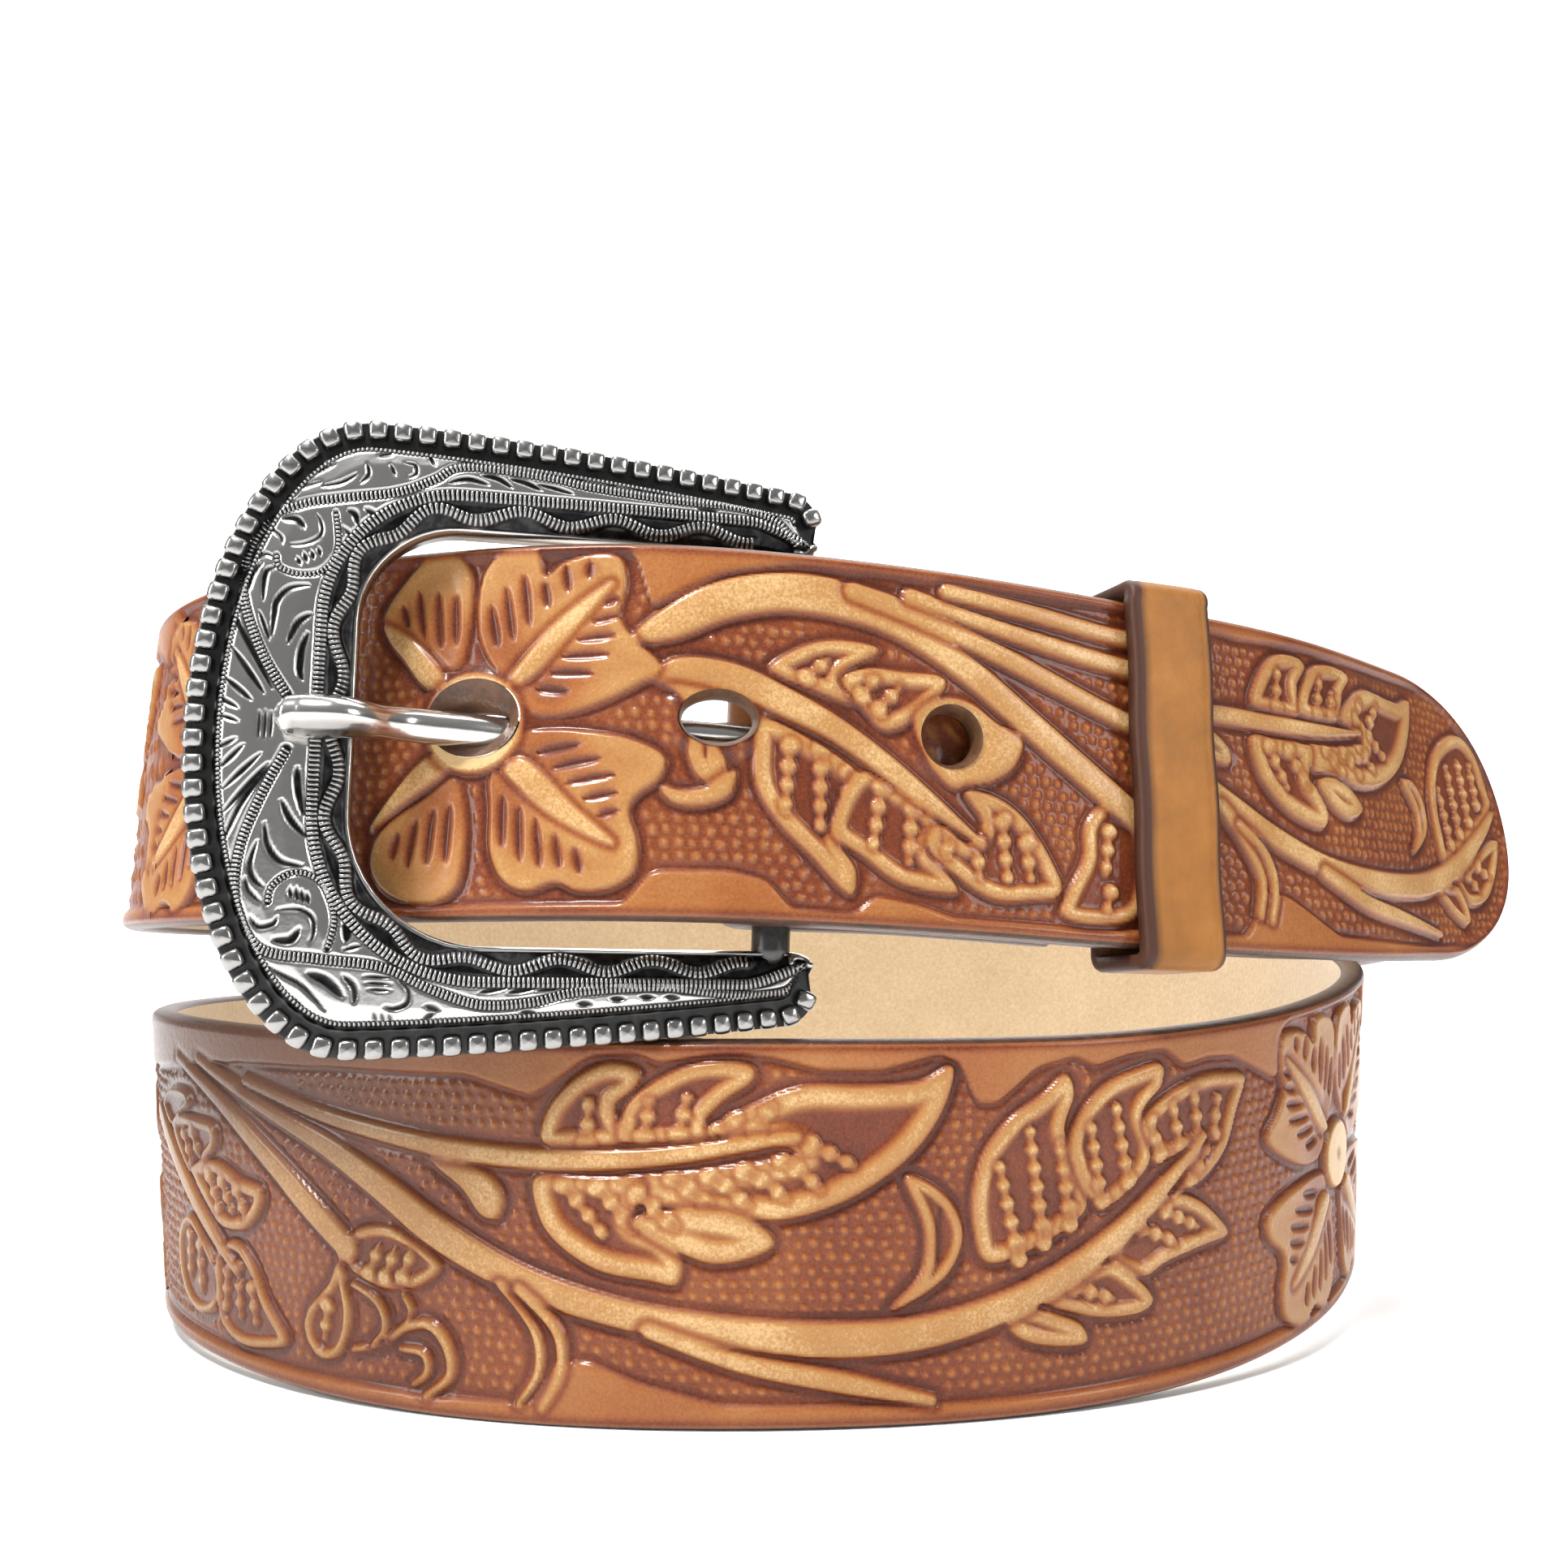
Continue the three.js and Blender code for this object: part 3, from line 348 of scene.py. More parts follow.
LOWER_LEAVES = [
    # left leaf, upper lobes
    {"rim": 0.9, "outline": [(452.5, 27.2), (456, 29.3), (461.5, 29.6), (463, 28), (460, 26.6),
     (457, 24.6)]},
    {"rim": 1.2, "outline": [(457, 25), (459.5, 26.6), (464, 26.7), (469, 26.4), (469.6, 24), (467, 21.8),
     (464.5, 20), (461.5, 20.6)], "ribs": [(461, 24.4, 463, 21.6), (463.6, 24.9, 465.4, 22.4)]},
    {"rim": 1.3, "outline": [(463.5, 20.5), (467, 22), (470.5, 22.2), (475, 21), (478.8, 20.4),
     (478.4, 17.8), (475.6, 15.6), (471.4, 15.2), (468.5, 16.6)], "ribs": [(468, 20.4, 470.2, 17.4),
     (471, 20.2, 473, 17.4), (474.2, 19.6, 475.6, 17.4)]},
    # left leaf, lower lobes
    {"rim": 1.0, "outline": [(466, 13.4), (462, 15.2), (458.5, 13), (458, 9), (460.5, 5.6), (465, 4.4),
     (469.5, 6), (470.4, 9.6)], "ribs": [(462, 12.8, 461.8, 8), (465, 12, 465.4, 7)]},
    {"rim": 1.0, "outline": [(470, 12.6), (474, 14), (477.4, 12), (480, 8.4), (483.4, 4.8), (479.4, 3.4),
     (474.6, 3), (470.8, 4.6), (469.6, 8.6)], "ribs": [(472, 10.4, 471.6, 6.4), (474.4, 11.2, 474.8, 6),
     (477, 9.4, 477.8, 6)]},
    # bud and drop under the second stem
    {"rim": 1.0, "outline": [(490.4, 15.4), (493, 17.8), (497, 18.6), (501, 17.2), (503.4, 15),
     (500.6, 12.8), (497, 12.2), (493.4, 13.2)], "ribs": [(495, 13.8, 496, 16.4), (497, 13.6, 498, 16.2),
     (499, 13.8, 499.8, 15.8)]},
    {"rim": 0.9, "outline": [(491, 15), (489.6, 12), (486.6, 8.8), (486.4, 6), (488.6, 4), (491.4, 5),
     (492.6, 8.4), (492, 12)], "ribs": [(489.4, 9.4, 489, 6.2)]},
    # drop beside the third stem
    {"rim": 2.0, "outline": [(501.6, 26), (505.6, 23), (507.8, 20.4), (509.8, 20.4), (510, 23),
     (507, 25.4)]},
    # central leaf, upper lobes
    {"rim": 1.5, "outline": [(514.4, 27.6), (514.8, 31), (517.4, 34), (520.8, 35.7), (524, 35), (523.6, 33),
     (521.6, 31.4), (523, 28), (519, 27.4)], "ribs": [(518.8, 27.8, 519, 31.8)]},
    {"rim": 1.4, "outline": [(522.6, 28), (522.8, 31.4), (525.6, 33.8), (529.8, 35.6), (534.6, 35.5),
     (535.2, 34), (532.4, 32), (530.6, 30), (531.6, 28.4), (527, 27.8)],
     "ribs": [(524.6, 28.6, 525.2, 31.8), (528, 28.8, 528.8, 32.2)]},
    # central leaf, point and lower lobes
    {"rim": 2.1, "outline": [(531.4, 28.8), (535, 31.4), (540, 33.3), (546, 33.3), (551.6, 33.7),
     (555.2, 35.2), (554.2, 31), (551, 26.6), (546, 23), (540.4, 20.8), (534, 20.2), (529, 21.2), (524, 22),
     (522, 24.6), (530, 25.2), (539.6, 26.8)], "ribs": [(527.4, 24.6, 531, 21.8), (531, 24.8, 534.6, 22),
     (534.4, 25.2, 538.4, 22.6), (538, 26.4, 541.8, 23.4), (541, 27.6, 545, 25.6), (531.8, 29, 533.6, 30.4),
     (535.6, 29.2, 537, 31.4)]},
    {"rim": 1.9, "outline": [(513.6, 24.6), (513.9, 20.6), (516, 17.8), (520, 15.4), (525, 14.5),
     (527.8, 14.2), (528.2, 16.8), (526.4, 19), (523.6, 20.4), (524.4, 24), (519, 24.6)],
     "ribs": [(516.6, 23.6, 520.4, 19), (520, 23.4, 523.4, 19.6)]},
    {"rim": 2.2, "outline": [(523.6, 20.4), (526.6, 18), (531, 16.2), (535, 16.7), (537.3, 18.2),
     (534.6, 20.4), (529, 21.4)], "ribs": [(524, 22.8, 527.6, 19.8)]},
    # curl between the two leaves
    {"rim": 1.0, "outline": [(550.3, 24.2), (552.8, 23.6), (555.2, 21.4), (556.2, 18.4), (555, 15.2),
     (552.4, 13), (548.8, 11.4), (551.6, 14.4), (552.4, 17.4), (552, 20.2)],
     "cuts": [(553.9, 21.4, 553.6, 16)]},
    # right leaf, upper lobes
    {"rim": 1.5, "outline": [(559, 15.6), (557.4, 19), (557.4, 23), (558.6, 26.6), (561.4, 29.8), (565, 32),
     (567.8, 34), (568.8, 32), (567.6, 28.6), (569, 25), (570, 20.4), (565, 17.2)],
     "ribs": [(562.2, 15.8, 560.2, 25), (565, 17.2, 563.6, 28.4), (568, 18.8, 567, 27)]},
    {"rim": 1.4, "outline": [(568.2, 26), (569.6, 30), (573, 32.8), (577, 34), (580.2, 34.3), (580, 32),
     (577.4, 29.4), (578.4, 26), (577, 23), (571.6, 20.2)], "ribs": [(571.8, 20.8, 570.8, 28.4),
     (575.2, 22.6, 574, 30.2)]},
    {"rim": 1.3, "outline": [(577.4, 28.4), (581, 31), (586, 32.4), (590, 32.4), (593, 31.6), (591.2, 28),
     (589, 24), (585, 21.2), (581, 20.4), (583, 22.6), (584, 25), (580, 24.4)],
     "ribs": [(579.4, 24.8, 578.6, 28.4), (582.4, 25.6, 581.6, 29.8), (585.2, 26.4, 584.8, 30.6),
     (587.6, 26.2, 588.4, 29.8), (583.6, 21.8, 586.6, 25)]},
    # right leaf, lower lobes
    {"rim": 1.4, "outline": [(575.2, 18.6), (579, 20.5), (583, 20.1), (586.6, 18), (589, 15), (585, 14.4),
     (580, 13.6), (576.2, 12.4), (572.4, 14.8)], "ribs": [(576.8, 17.4, 581, 15.6),
     (580, 18.8, 584.4, 16.6)]},
    {"rim": 1.3, "outline": [(572, 14.6), (575.6, 12.6), (577.8, 10.2), (576.4, 8.9), (572, 9), (568, 9.9),
     (564.6, 11.2), (566.6, 12.6)], "ribs": [(568.4, 12.4, 572.8, 10.8)]},
    {"rim": 1.4, "outline": [(560.4, 10.6), (561.8, 8.2), (565, 7), (569.4, 6.7), (569, 8.6), (566, 10),
     (563.4, 11)]},
]

# Flower round the prong's hole: outline and wedge of each petal, from the flower's middle
PETALS = [
    {"outline": [(2, 5.4), (0.2, 9), (0, 13), (1.2, 16.4), (3.8, 17.6), (6.2, 17.3), (7, 14.8), (9, 16.2),
     (12, 16.8), (14.4, 16.4), (15, 13.6), (14.4, 10.6), (16, 8), (18.2, 6), (17.8, 4.6), (15, 2.8),
     (11.4, 1.2), (8, 0.5), (5.4, 1.2)], "cuts": [(6.4, 3.2, 9.6, 2.9), (7.6, 4.8, 12, 4.7),
     (9, 6.4, 13.6, 6.6), (10.4, 8.1, 14.2, 8.6), (11.8, 9.9, 14.4, 10.6), (12.9, 11.7, 14.4, 12.4),
     (2.2, 7.6, 1.4, 12), (3.8, 8.4, 3, 13.8), (5.5, 9.6, 4.8, 15), (7.4, 11.4, 6.9, 14.2),
     (9.4, 13, 9, 15.8), (11.4, 14.4, 11.4, 16.2)], "wedge": [(3.6, 4.2), (6, 4.6), (10.4, 9.8),
     (13.6, 13.8), (8.2, 9.6)]},
    {"outline": [(-2, 5.6), (-1, 8.6), (-0.6, 12), (-0.8, 15.4), (-2.6, 17.4), (-5.6, 17.4), (-8.4, 15),
     (-10.6, 11.4), (-9.2, 8), (-6, 6.2)], "cuts": [(-4, 8, -4.4, 13.8), (-5.8, 9, -6.6, 14),
     (-2.3, 8.2, -2.4, 13.4), (-7.6, 10.2, -8.4, 12.6)], "wedge": [(-3, 4.2), (-5.4, 4), (-8, 7),
     (-10.4, 10.4), (-7, 8.6)]},
    {"outline": [(-2, -5.2), (-5, -7.2), (-9.4, -10.2), (-10.6, -13.4), (-9.6, -16), (-7, -17.6),
     (-3.4, -17.9), (-1, -16.2), (-0.4, -12), (-0.8, -8)], "cuts": [(-4, -8.6, -4.4, -14.2),
     (-5.8, -9.6, -6.4, -14.4), (-2.3, -8.2, -2.4, -14), (-7.6, -10.8, -8.2, -13.6)],
     "wedge": [(-2.2, -4.2), (-4.4, -3), (-8, -6.4), (-10.8, -10.4), (-6.6, -7.4)]},
    {"outline": [(4.2, -1.4), (8, -0.9), (12, -1.2), (16, -2), (19, -3.6), (18.6, -5.8), (16.4, -7.6),
     (15.8, -9.4), (16.6, -12), (16.4, -15), (14, -16.6), (11, -16.8), (8.8, -16), (6, -16.8), (3.6, -15.8),
     (2.2, -13), (2, -9), (1.8, -5.2), (3.4, -4)], "cuts": [(6.6, -3.2, 11, -2.4), (8, -4.8, 13, -3.8),
     (9.6, -6.3, 14.4, -5.4), (11.2, -7.9, 14.6, -7.2), (12.8, -9.5, 14.8, -9), (3.2, -7.4, 3.4, -12.6),
     (4.9, -8.4, 5.2, -14), (6.7, -9.8, 7.2, -14.6), (8.6, -11.2, 9.2, -14.8), (10.6, -12.6, 11.2, -15.2)],
     "wedge": [(3.4, -4.8), (5.6, -4), (10.2, -8.6), (14.2, -12.2), (8.2, -9.2)]},
]
FLOWER_HEIGHT = 19.7
LOWER_FLOWER = (615.0, 18.6)

TIP_STEMS = [
    [(1047.6, 24.2, 0.5), (1051, 25.1, 1.1), (1056, 24.4, 1.4), (1061, 22.3, 1.5), (1066, 20.1, 1.3),
     (1071, 17.1, 1.2), (1076, 13.7, 1.0), (1082.6, 9.4, 0.3)],
    [(1046.6, 28, 0.7), (1050, 29.7, 1.7), (1055, 32.3, 2.0), (1061, 33.6, 2.0), (1067, 33.3, 2.0),
     (1073, 31.6, 1.7), (1080, 27.8, 1.5), (1088, 22.4, 1.5), (1097, 16.4, 1.5), (1103, 12.4, 1.4)],
    [(1068, 34.4, 0.9), (1075, 32.6, 1.1), (1084, 29.6, 1.1), (1096, 25.4, 1.0), (1104, 23, 1.0)],
    [(1074, 34.6, 0.8), (1084, 32.4, 0.9), (1096, 30.6, 1.0), (1108, 29.6, 0.9)],
    [(1078, 35.6, 0.8), (1088, 34.6, 0.9), (1098, 33.6, 0.9), (1110, 33.4, 0.8)],
    [(1104, 26.4, 0.9), (1112, 26.7, 1.0), (1120, 26.6, 1.0), (1130, 26.9, 0.8), (1139, 27.6, 0.3)],
    [(1102, 22.4, 1.0), (1108, 19.4, 1.3), (1114, 16.2, 1.4), (1120, 13.4, 1.3), (1128, 10.8, 1.3),
     (1138, 9.3, 1.5), (1150, 9.2, 1.5), (1158, 10.6, 1.4), (1165, 13.4, 1.2), (1172, 17.6, 0.9),
     (1177, 21.4, 0.4)],
    [(1112, 16.2, 0.6), (1115.4, 12.6, 0.8), (1117.6, 8.6, 0.7), (1117, 4.6, 0.5)],
    [(1114.6, 14.4, 0.4), (1118, 11.6, 0.6), (1119.4, 8, 0.6), (1118.6, 4, 0.4)],
    [(1128, 9.8, 0.7), (1136, 6.8, 1.0), (1144, 5.2, 0.9), (1154, 3.2, 0.5)],
]

TIP_LEAVES = [
    # curl left of the second hole
    {"rim": 2.4, "outline": [(1047.6, 23.8), (1050.6, 22.6), (1052, 19.6), (1051.8, 16.4), (1053.2, 13.8),
     (1056, 12.6), (1055.6, 15.6), (1054.4, 18), (1056, 21), (1058.6, 22.4), (1055.6, 23.4), (1052, 24.2)],
     "cuts": [(1053.2, 21.6, 1053.4, 16)]},
    {"rim": 1.2, "outline": [(1049, 13.4), (1051.2, 12.8), (1054, 13.4), (1056.4, 15), (1056, 12.6),
     (1053.4, 11.4), (1050.4, 11.6)]},
    # lobes over the midrib
    {"rim": 1.3, "outline": [(1059.6, 25.2), (1062, 27.6), (1066, 29), (1070.8, 28.6), (1068.4, 26.6),
     (1066.8, 24.8), (1069, 22.4), (1065, 23.4)], "ribs": [(1063.4, 25, 1065.4, 26.8)]},
    {"rim": 1.4, "outline": [(1067, 25), (1069.6, 26.4), (1073.6, 26.4), (1077.9, 26.3), (1077.2, 23.8),
     (1074.6, 21.4), (1071.6, 20.2), (1069.6, 21.8)], "ribs": [(1071, 22.4, 1073, 24.6),
     (1069.2, 23.6, 1070.2, 25)]},
    # petal round the first hole
    {"rim": 4.0, "outline": [(1074.8, 21.6), (1077.6, 24), (1081, 23.9), (1084, 22.2), (1087, 21.2),
     (1086, 17.8), (1083, 15.8), (1079.4, 14.9), (1077.4, 16.2), (1076, 18)]},
    # leaf under the midrib
    {"rim": 1.6, "outline": [(1059, 20.4), (1058.3, 17), (1058.7, 13.4), (1061, 10), (1064.4, 6.8),
     (1068.3, 3.3), (1069, 5.6), (1067.4, 8.6), (1069, 11), (1069.6, 15), (1064, 18.6)],
     "ribs": [(1061.8, 17.6, 1061.6, 11.4), (1065, 17.6, 1065.2, 10), (1068, 15.4, 1067.8, 10)]},
    {"rim": 1.4, "outline": [(1066.4, 9.8), (1070, 7), (1074, 4.7), (1079.8, 4.2), (1078.6, 6.6),
     (1076.6, 8.4), (1078, 11.2), (1073, 14.4), (1069, 15.6)], "ribs": [(1071.4, 14.2, 1070.8, 8.6),
     (1074.8, 12.2, 1074.6, 7)]},
    {"rim": 1.4, "outline": [(1076.6, 8.6), (1080, 5.8), (1084, 3.9), (1088, 4.1), (1091.8, 5.1),
     (1090.4, 8.6), (1087.4, 12.4), (1084, 14.4), (1080.6, 14.6), (1082.6, 11.6), (1081, 9.4), (1078, 11)],
     "ribs": [(1079, 10.4, 1078.6, 8), (1082, 9.4, 1082.4, 6.2), (1084.8, 11.8, 1085.6, 6.2),
     (1087.6, 9.8, 1088.2, 6.4)]},
    # leaf that goes under the keeper
    {"rim": 1.3, "outline": [(1097.6, 15.8), (1094.6, 12.6), (1094.4, 9), (1092.6, 5.4), (1092, 2.8),
     (1096, 2.2), (1101, 3.6), (1102.4, 9), (1101, 14)], "ribs": [(1097.4, 12, 1097, 7.6),
     (1097.6, 5.6, 1097.2, 4)]},
    # bud past the keeper
    {"rim": 1.2, "outline": [(1108, 25), (1110.6, 25), (1113.4, 23), (1113.6, 21.2), (1111, 21.4),
     (1108.4, 22.6)]},
    # leaf on the tip, upper lobes
    {"rim": 1.5, "outline": [(1117.4, 28.4), (1118.8, 32), (1121.8, 34.8), (1126, 35.3), (1127.6, 34),
     (1125.6, 31.6), (1126, 28.2), (1121, 27.9)], "ribs": [(1121.6, 28.8, 1122.2, 32.6)]},
    {"rim": 1.5, "outline": [(1126, 28.6), (1127, 32.2), (1130, 34.8), (1135, 35.4), (1138, 34.4),
     (1135.6, 32), (1134.8, 29), (1131, 28.2)], "ribs": [(1129.4, 29, 1130.6, 32.8),
     (1132.4, 29, 1133.4, 32)]},
    {"rim": 2.1, "outline": [(1134.8, 29), (1138, 31.8), (1142.6, 33.6), (1148, 33.4), (1153, 33.2),
     (1156.6, 34), (1154.8, 29.4), (1150.6, 24.8), (1145, 22), (1138.6, 20.8), (1132, 21.4), (1127, 22.2),
     (1126, 24.8), (1134, 25.4), (1140, 26.8)], "ribs": [(1130.4, 24.6, 1133.4, 22.2),
     (1134.4, 24.8, 1137.6, 22.4), (1138.4, 26, 1141.4, 23.6), (1142, 27.6, 1145.2, 25.4),
     (1138.6, 29.4, 1140.2, 31.6), (1143, 29.6, 1145.4, 31.6)]},
    {"rim": 1.9, "outline": [(1117, 24.8), (1117.8, 21), (1120, 18.2), (1123.6, 16), (1128.4, 15.1),
     (1129.6, 17), (1128, 19.6), (1126.6, 21), (1127, 24.6), (1121, 25)],
     "ribs": [(1119.8, 23.8, 1122.6, 19.4), (1123.2, 23.6, 1126, 19.8)]},
    {"rim": 1.8, "outline": [(1128.4, 20.4), (1131, 17.8), (1134.4, 16.7), (1137.4, 18), (1135, 20.4),
     (1131, 21.4)]},
    # curl and leaf at the very tip
    {"rim": 1.0, "outline": [(1150.2, 22.4), (1152.8, 23), (1155.2, 21), (1155.8, 18), (1154.2, 15.4),
     (1150.4, 13.4), (1152.6, 16.4), (1152.6, 19.4)]},
    {"rim": 1.5, "outline": [(1160, 12.4), (1158.2, 17), (1158.6, 22), (1161, 26.6), (1165, 29.8),
     (1170, 31.4), (1174, 29.4), (1176, 25), (1176.4, 21.4), (1170, 17)],
     "ribs": [(1162.4, 15.4, 1161.4, 22.6), (1165.6, 17.2, 1165, 26.2), (1169, 19.2, 1168.6, 27.6),
     (1172.4, 22, 1172.2, 27.4)]},
    {"rim": 1.3, "outline": [(1162, 11), (1164.8, 7.6), (1170, 8.4), (1174.4, 12.6), (1176.8, 17.4),
     (1172, 16), (1167, 13.4)], "ribs": [(1166, 11.4, 1168.4, 9.6), (1169.4, 13, 1172, 11.8)]},
    {"rim": 1.2, "outline": [(1156, 9.2), (1158.6, 6.4), (1163, 4.6), (1164.2, 6.4), (1161.6, 9.8)]},
]


def smooth_curve(points, closed, per_span=6):
    """A smooth curve through a few points; extra columns are carried along."""
    points = np.array(points, float)
    count = len(points)
    spans = count if closed else count - 1
    pick = (lambda i: points[i % count]) if closed else (lambda i: points[min(max(i, 0), count - 1)])
    curve = []
    for i in range(spans):
        a, b, c, d = pick(i - 1), pick(i), pick(i + 1), pick(i + 2)
        for t in np.arange(per_span) / per_span:
            curve.append(0.5 * (2 * b + (c - a) * t + (2 * a - 5 * b + 4 * c - d) * t ** 2
                                + (3 * b - a - 3 * c + d) * t ** 3))
    if not closed:
        curve.append(points[-1])
    return np.array(curve)


def nearest_on(curve, x, y, closed):
    """Distance to a polyline, and the place on it as a share of the segment count."""
    starts = curve if closed else curve[:-1]
    ends = np.roll(curve, -1, 0) if closed else curve[1:]
    best = np.full(x.shape, 1e9)
    place = np.zeros(x.shape)
    for i, (a, b) in enumerate(zip(starts, ends)):
        run = b[:2] - a[:2]
        share = np.clip(((x - a[0]) * run[0] + (y - a[1]) * run[1]) / max(run @ run, 1e-9), 0, 1)
        distance = np.hypot(x - a[0] - share * run[0], y - a[1] - share * run[1])
        closer = distance < best
        best = np.where(closer, distance, best)
        place = np.where(closer, i + share, place)
    return best, place


def inside_of(curve, x, y):
    """Whether each place lies inside a closed outline."""
    inside = np.zeros(x.shape, bool)
    for a, b in zip(curve, np.roll(curve, -1, 0)):
        crosses = (a[1] > y) != (b[1] > y)
        slope = (b[0] - a[0]) / (b[1] - a[1] if b[1] != a[1] else 1e-9)
        inside ^= crosses & (x < a[0] + slope * (y - a[1]))
    return inside


def softened(border, x):
    """Height of a border at x, with its corners rounded."""
    shifts = np.linspace(-SOFTENING, SOFTENING, SOFTENING_STEPS)
    weights = np.exp(-(shifts / SOFTENING_WIDTH) ** 2)
    heights = sum(w * np.interp(x + d, border[:, 0], border[:, 1]) for w, d in zip(weights, shifts))
    return heights / weights.sum()


# Relief in millimetres, and tone from 0, deep and dark, to 1, high and light
PLAIN_TONE = 0.55
UNSUNK_TONE = 0.58
GROUND_TONE = 0.24
GROOVE_DEPTH = 0.12
GROOVE_TONE = 0.14
DOT_TONE = 0.42
DOT_HEIGHT = 0.3
DOT_RADIUS = 0.33
DOT_SWAY = 0.12
BEVEL_TONE = 0.17
STEM_CROWN = 0.1
STEM_TONE = 0.9
LEAF_RIM_HEIGHT = 0.05
LEAF_RIM_TONE = 0.82
LEAF_HOLLOW_DEPTH = 0.38
LEAF_HOLLOW_TONE = 0.17
LEAF_CUT_WIDTH = 0.3
RIB_HALF_WIDTH = 0.66
SCALLOP_PITCH = 1.9
CUT_WIDTH = 0.34
CUT_DEPTH = 0.26
WEDGE_TONE = 0.92
PETAL_HEIGHT = 0.05
PETAL_TONE = 0.86
PETAL_SINK_RADIUS = 7.5
PETAL_BORDER = 2.4
PETAL_CUT_WIDTH = 0.5
PETAL_CUT_DEPTH = 0.32
# Radius of each flower's middle, and the width of the raised ring in it
LOWER_RING = (4.2, 3.0)
TIP_RING = (5.1, 1.3)


class Tooling:
    """Relief and tone of the grain side over a cloud of places on the strap."""

    def __init__(self, along, height):
        self.along, self.height = along, height
        self.relief = np.zeros(along.shape)
        self.tone = np.full(along.shape, PLAIN_TONE)
        self.sunk = np.zeros(along.shape)

    def near(self, points, margin):
        low, high = np.min(points, 0)[:2] - margin, np.max(points, 0)[:2] + margin
        return np.nonzero((self.along > low[0]) & (self.along < high[0])
                          & (self.height > low[1]) & (self.height < high[1]))[0]

    def beside(self, line, margin):
        """The places near an open line, their distances from it and where along it they lie."""
        here = self.near(line, margin)
        if not len(here):
            return here, None, None
        return here, *nearest_on(line, self.along[here], self.height[here], False)

    def within(self, outline, margin):
        """The places near a closed outline, and how far inside it each lies."""
        curve = smooth_curve(outline, True)
        here = self.near(curve, margin)
        if not len(here):
            return here, None
        x, y = self.along[here], self.height[here]
        distance, _ = nearest_on(curve, x, y, True)
        return here, np.where(inside_of(curve, x, y), distance, -distance)

    def ground(self, top, bottom, start, end):
        """Sinks the ground between two borders and covers it with rows of pebbles."""
        here = np.nonzero((self.along >= start) & (self.along < end))[0]
        if not len(here):
            return
        x, y = self.along[here], self.height[here]
        top, bottom = np.array(top, float), np.array(bottom, float)
        room = np.minimum(softened(top, x) - y, y - softened(bottom, x))
        sunk = smoothstep(-0.25, 0.3, room)
        row = np.round(y / DOT_PITCH_ACROSS)
        offset = (row % 2) / 2 + 0.16 * np.sin(row * 2.4)
        column = np.round(x / DOT_PITCH_ALONG - offset)
        sway = DOT_SWAY * np.sin(column * 5.1 + row * 3.7)
        dot_x = (column + offset) * DOT_PITCH_ALONG + sway
        dot_y = row * DOT_PITCH_ACROSS + DOT_SWAY * np.sin(column * 2.9 - row * 4.3)
        size = DOT_RADIUS + 0.07 * np.sin(column * 1.7 + row * 2.3)
        dot = np.exp(-(np.hypot(x - dot_x, (y - dot_y) * 0.9) / size) ** 3) * smoothstep(0.7, 1.3, room)
        groove = np.exp(-((room - 0.35) / 0.45) ** 2)
        self.relief[here] = -sunk * (RECESS_DEPTH + GROOVE_DEPTH * groove) + sunk * DOT_HEIGHT * dot
        self.tone[here] = (UNSUNK_TONE * (1 - sunk) + sunk * (GROUND_TONE + DOT_TONE * dot)
                           - GROOVE_TONE * groove * sunk)
        self.sunk[here] = sunk

    def raise_shape(self, here, depth, relief, tone):
        """Raises one shape over what is there; depth is how far inside its outline a place lies."""
        on = smoothstep(-0.2, 0.24, depth)
        beside = np.exp(-((depth + 0.45) / 0.38) ** 2) * (1 - on)
        bevel = smoothstep(-1.35, -0.85, depth) * self.sunk[here]
        before = self.relief[here] * (1 - bevel) - RECESS_DEPTH * bevel
        stain = self.tone[here] * (1 - bevel) + BEVEL_TONE * bevel
        self.relief[here] = before * (1 - on) - 0.14 * beside + on * relief
        self.tone[here] = stain * (1 - on) * (1 - 0.6 * beside) + on * tone
        self.sunk[here] = self.sunk[here] * (1 - on)

    def stem(self, rows):
        """A raised stem whose half width changes along it."""
        curve = smooth_curve(rows, False)
        here, distance, place = self.beside(curve, 3.0)
        if not len(here):
            return
        half = np.interp(place, np.arange(len(curve)), curve[:, 2])
        depth = half - distance
        crown = STEM_CROWN * (1 - (distance / half.clip(0.2)).clip(0, 1) ** 2)
        self.raise_shape(here, depth, crown, STEM_TONE - 0.12 * np.exp(-(depth / 0.3) ** 2))

    def leaf(self, outline, rim, ribs=(), cuts=()):
        """A leaf with a light rim round a dark hollow, and ribs or cuts in it."""
        here, depth = self.within(outline, 2.5)
        if not len(here):
            return
        hollow = smoothstep(rim * 0.75, rim * 1.35, depth)
        relief = LEAF_RIM_HEIGHT * (1 - hollow) - LEAF_HOLLOW_DEPTH * hollow
        rim_tone = LEAF_RIM_TONE + 0.1 * smoothstep(0.2, 1.0, depth)
        self.raise_shape(here, depth, relief, rim_tone * (1 - hollow) + LEAF_HOLLOW_TONE * hollow)
        for rib in ribs:
            self.rib(*rib)
        for line in cuts:
            self.cut(*line, width=LEAF_CUT_WIDTH)

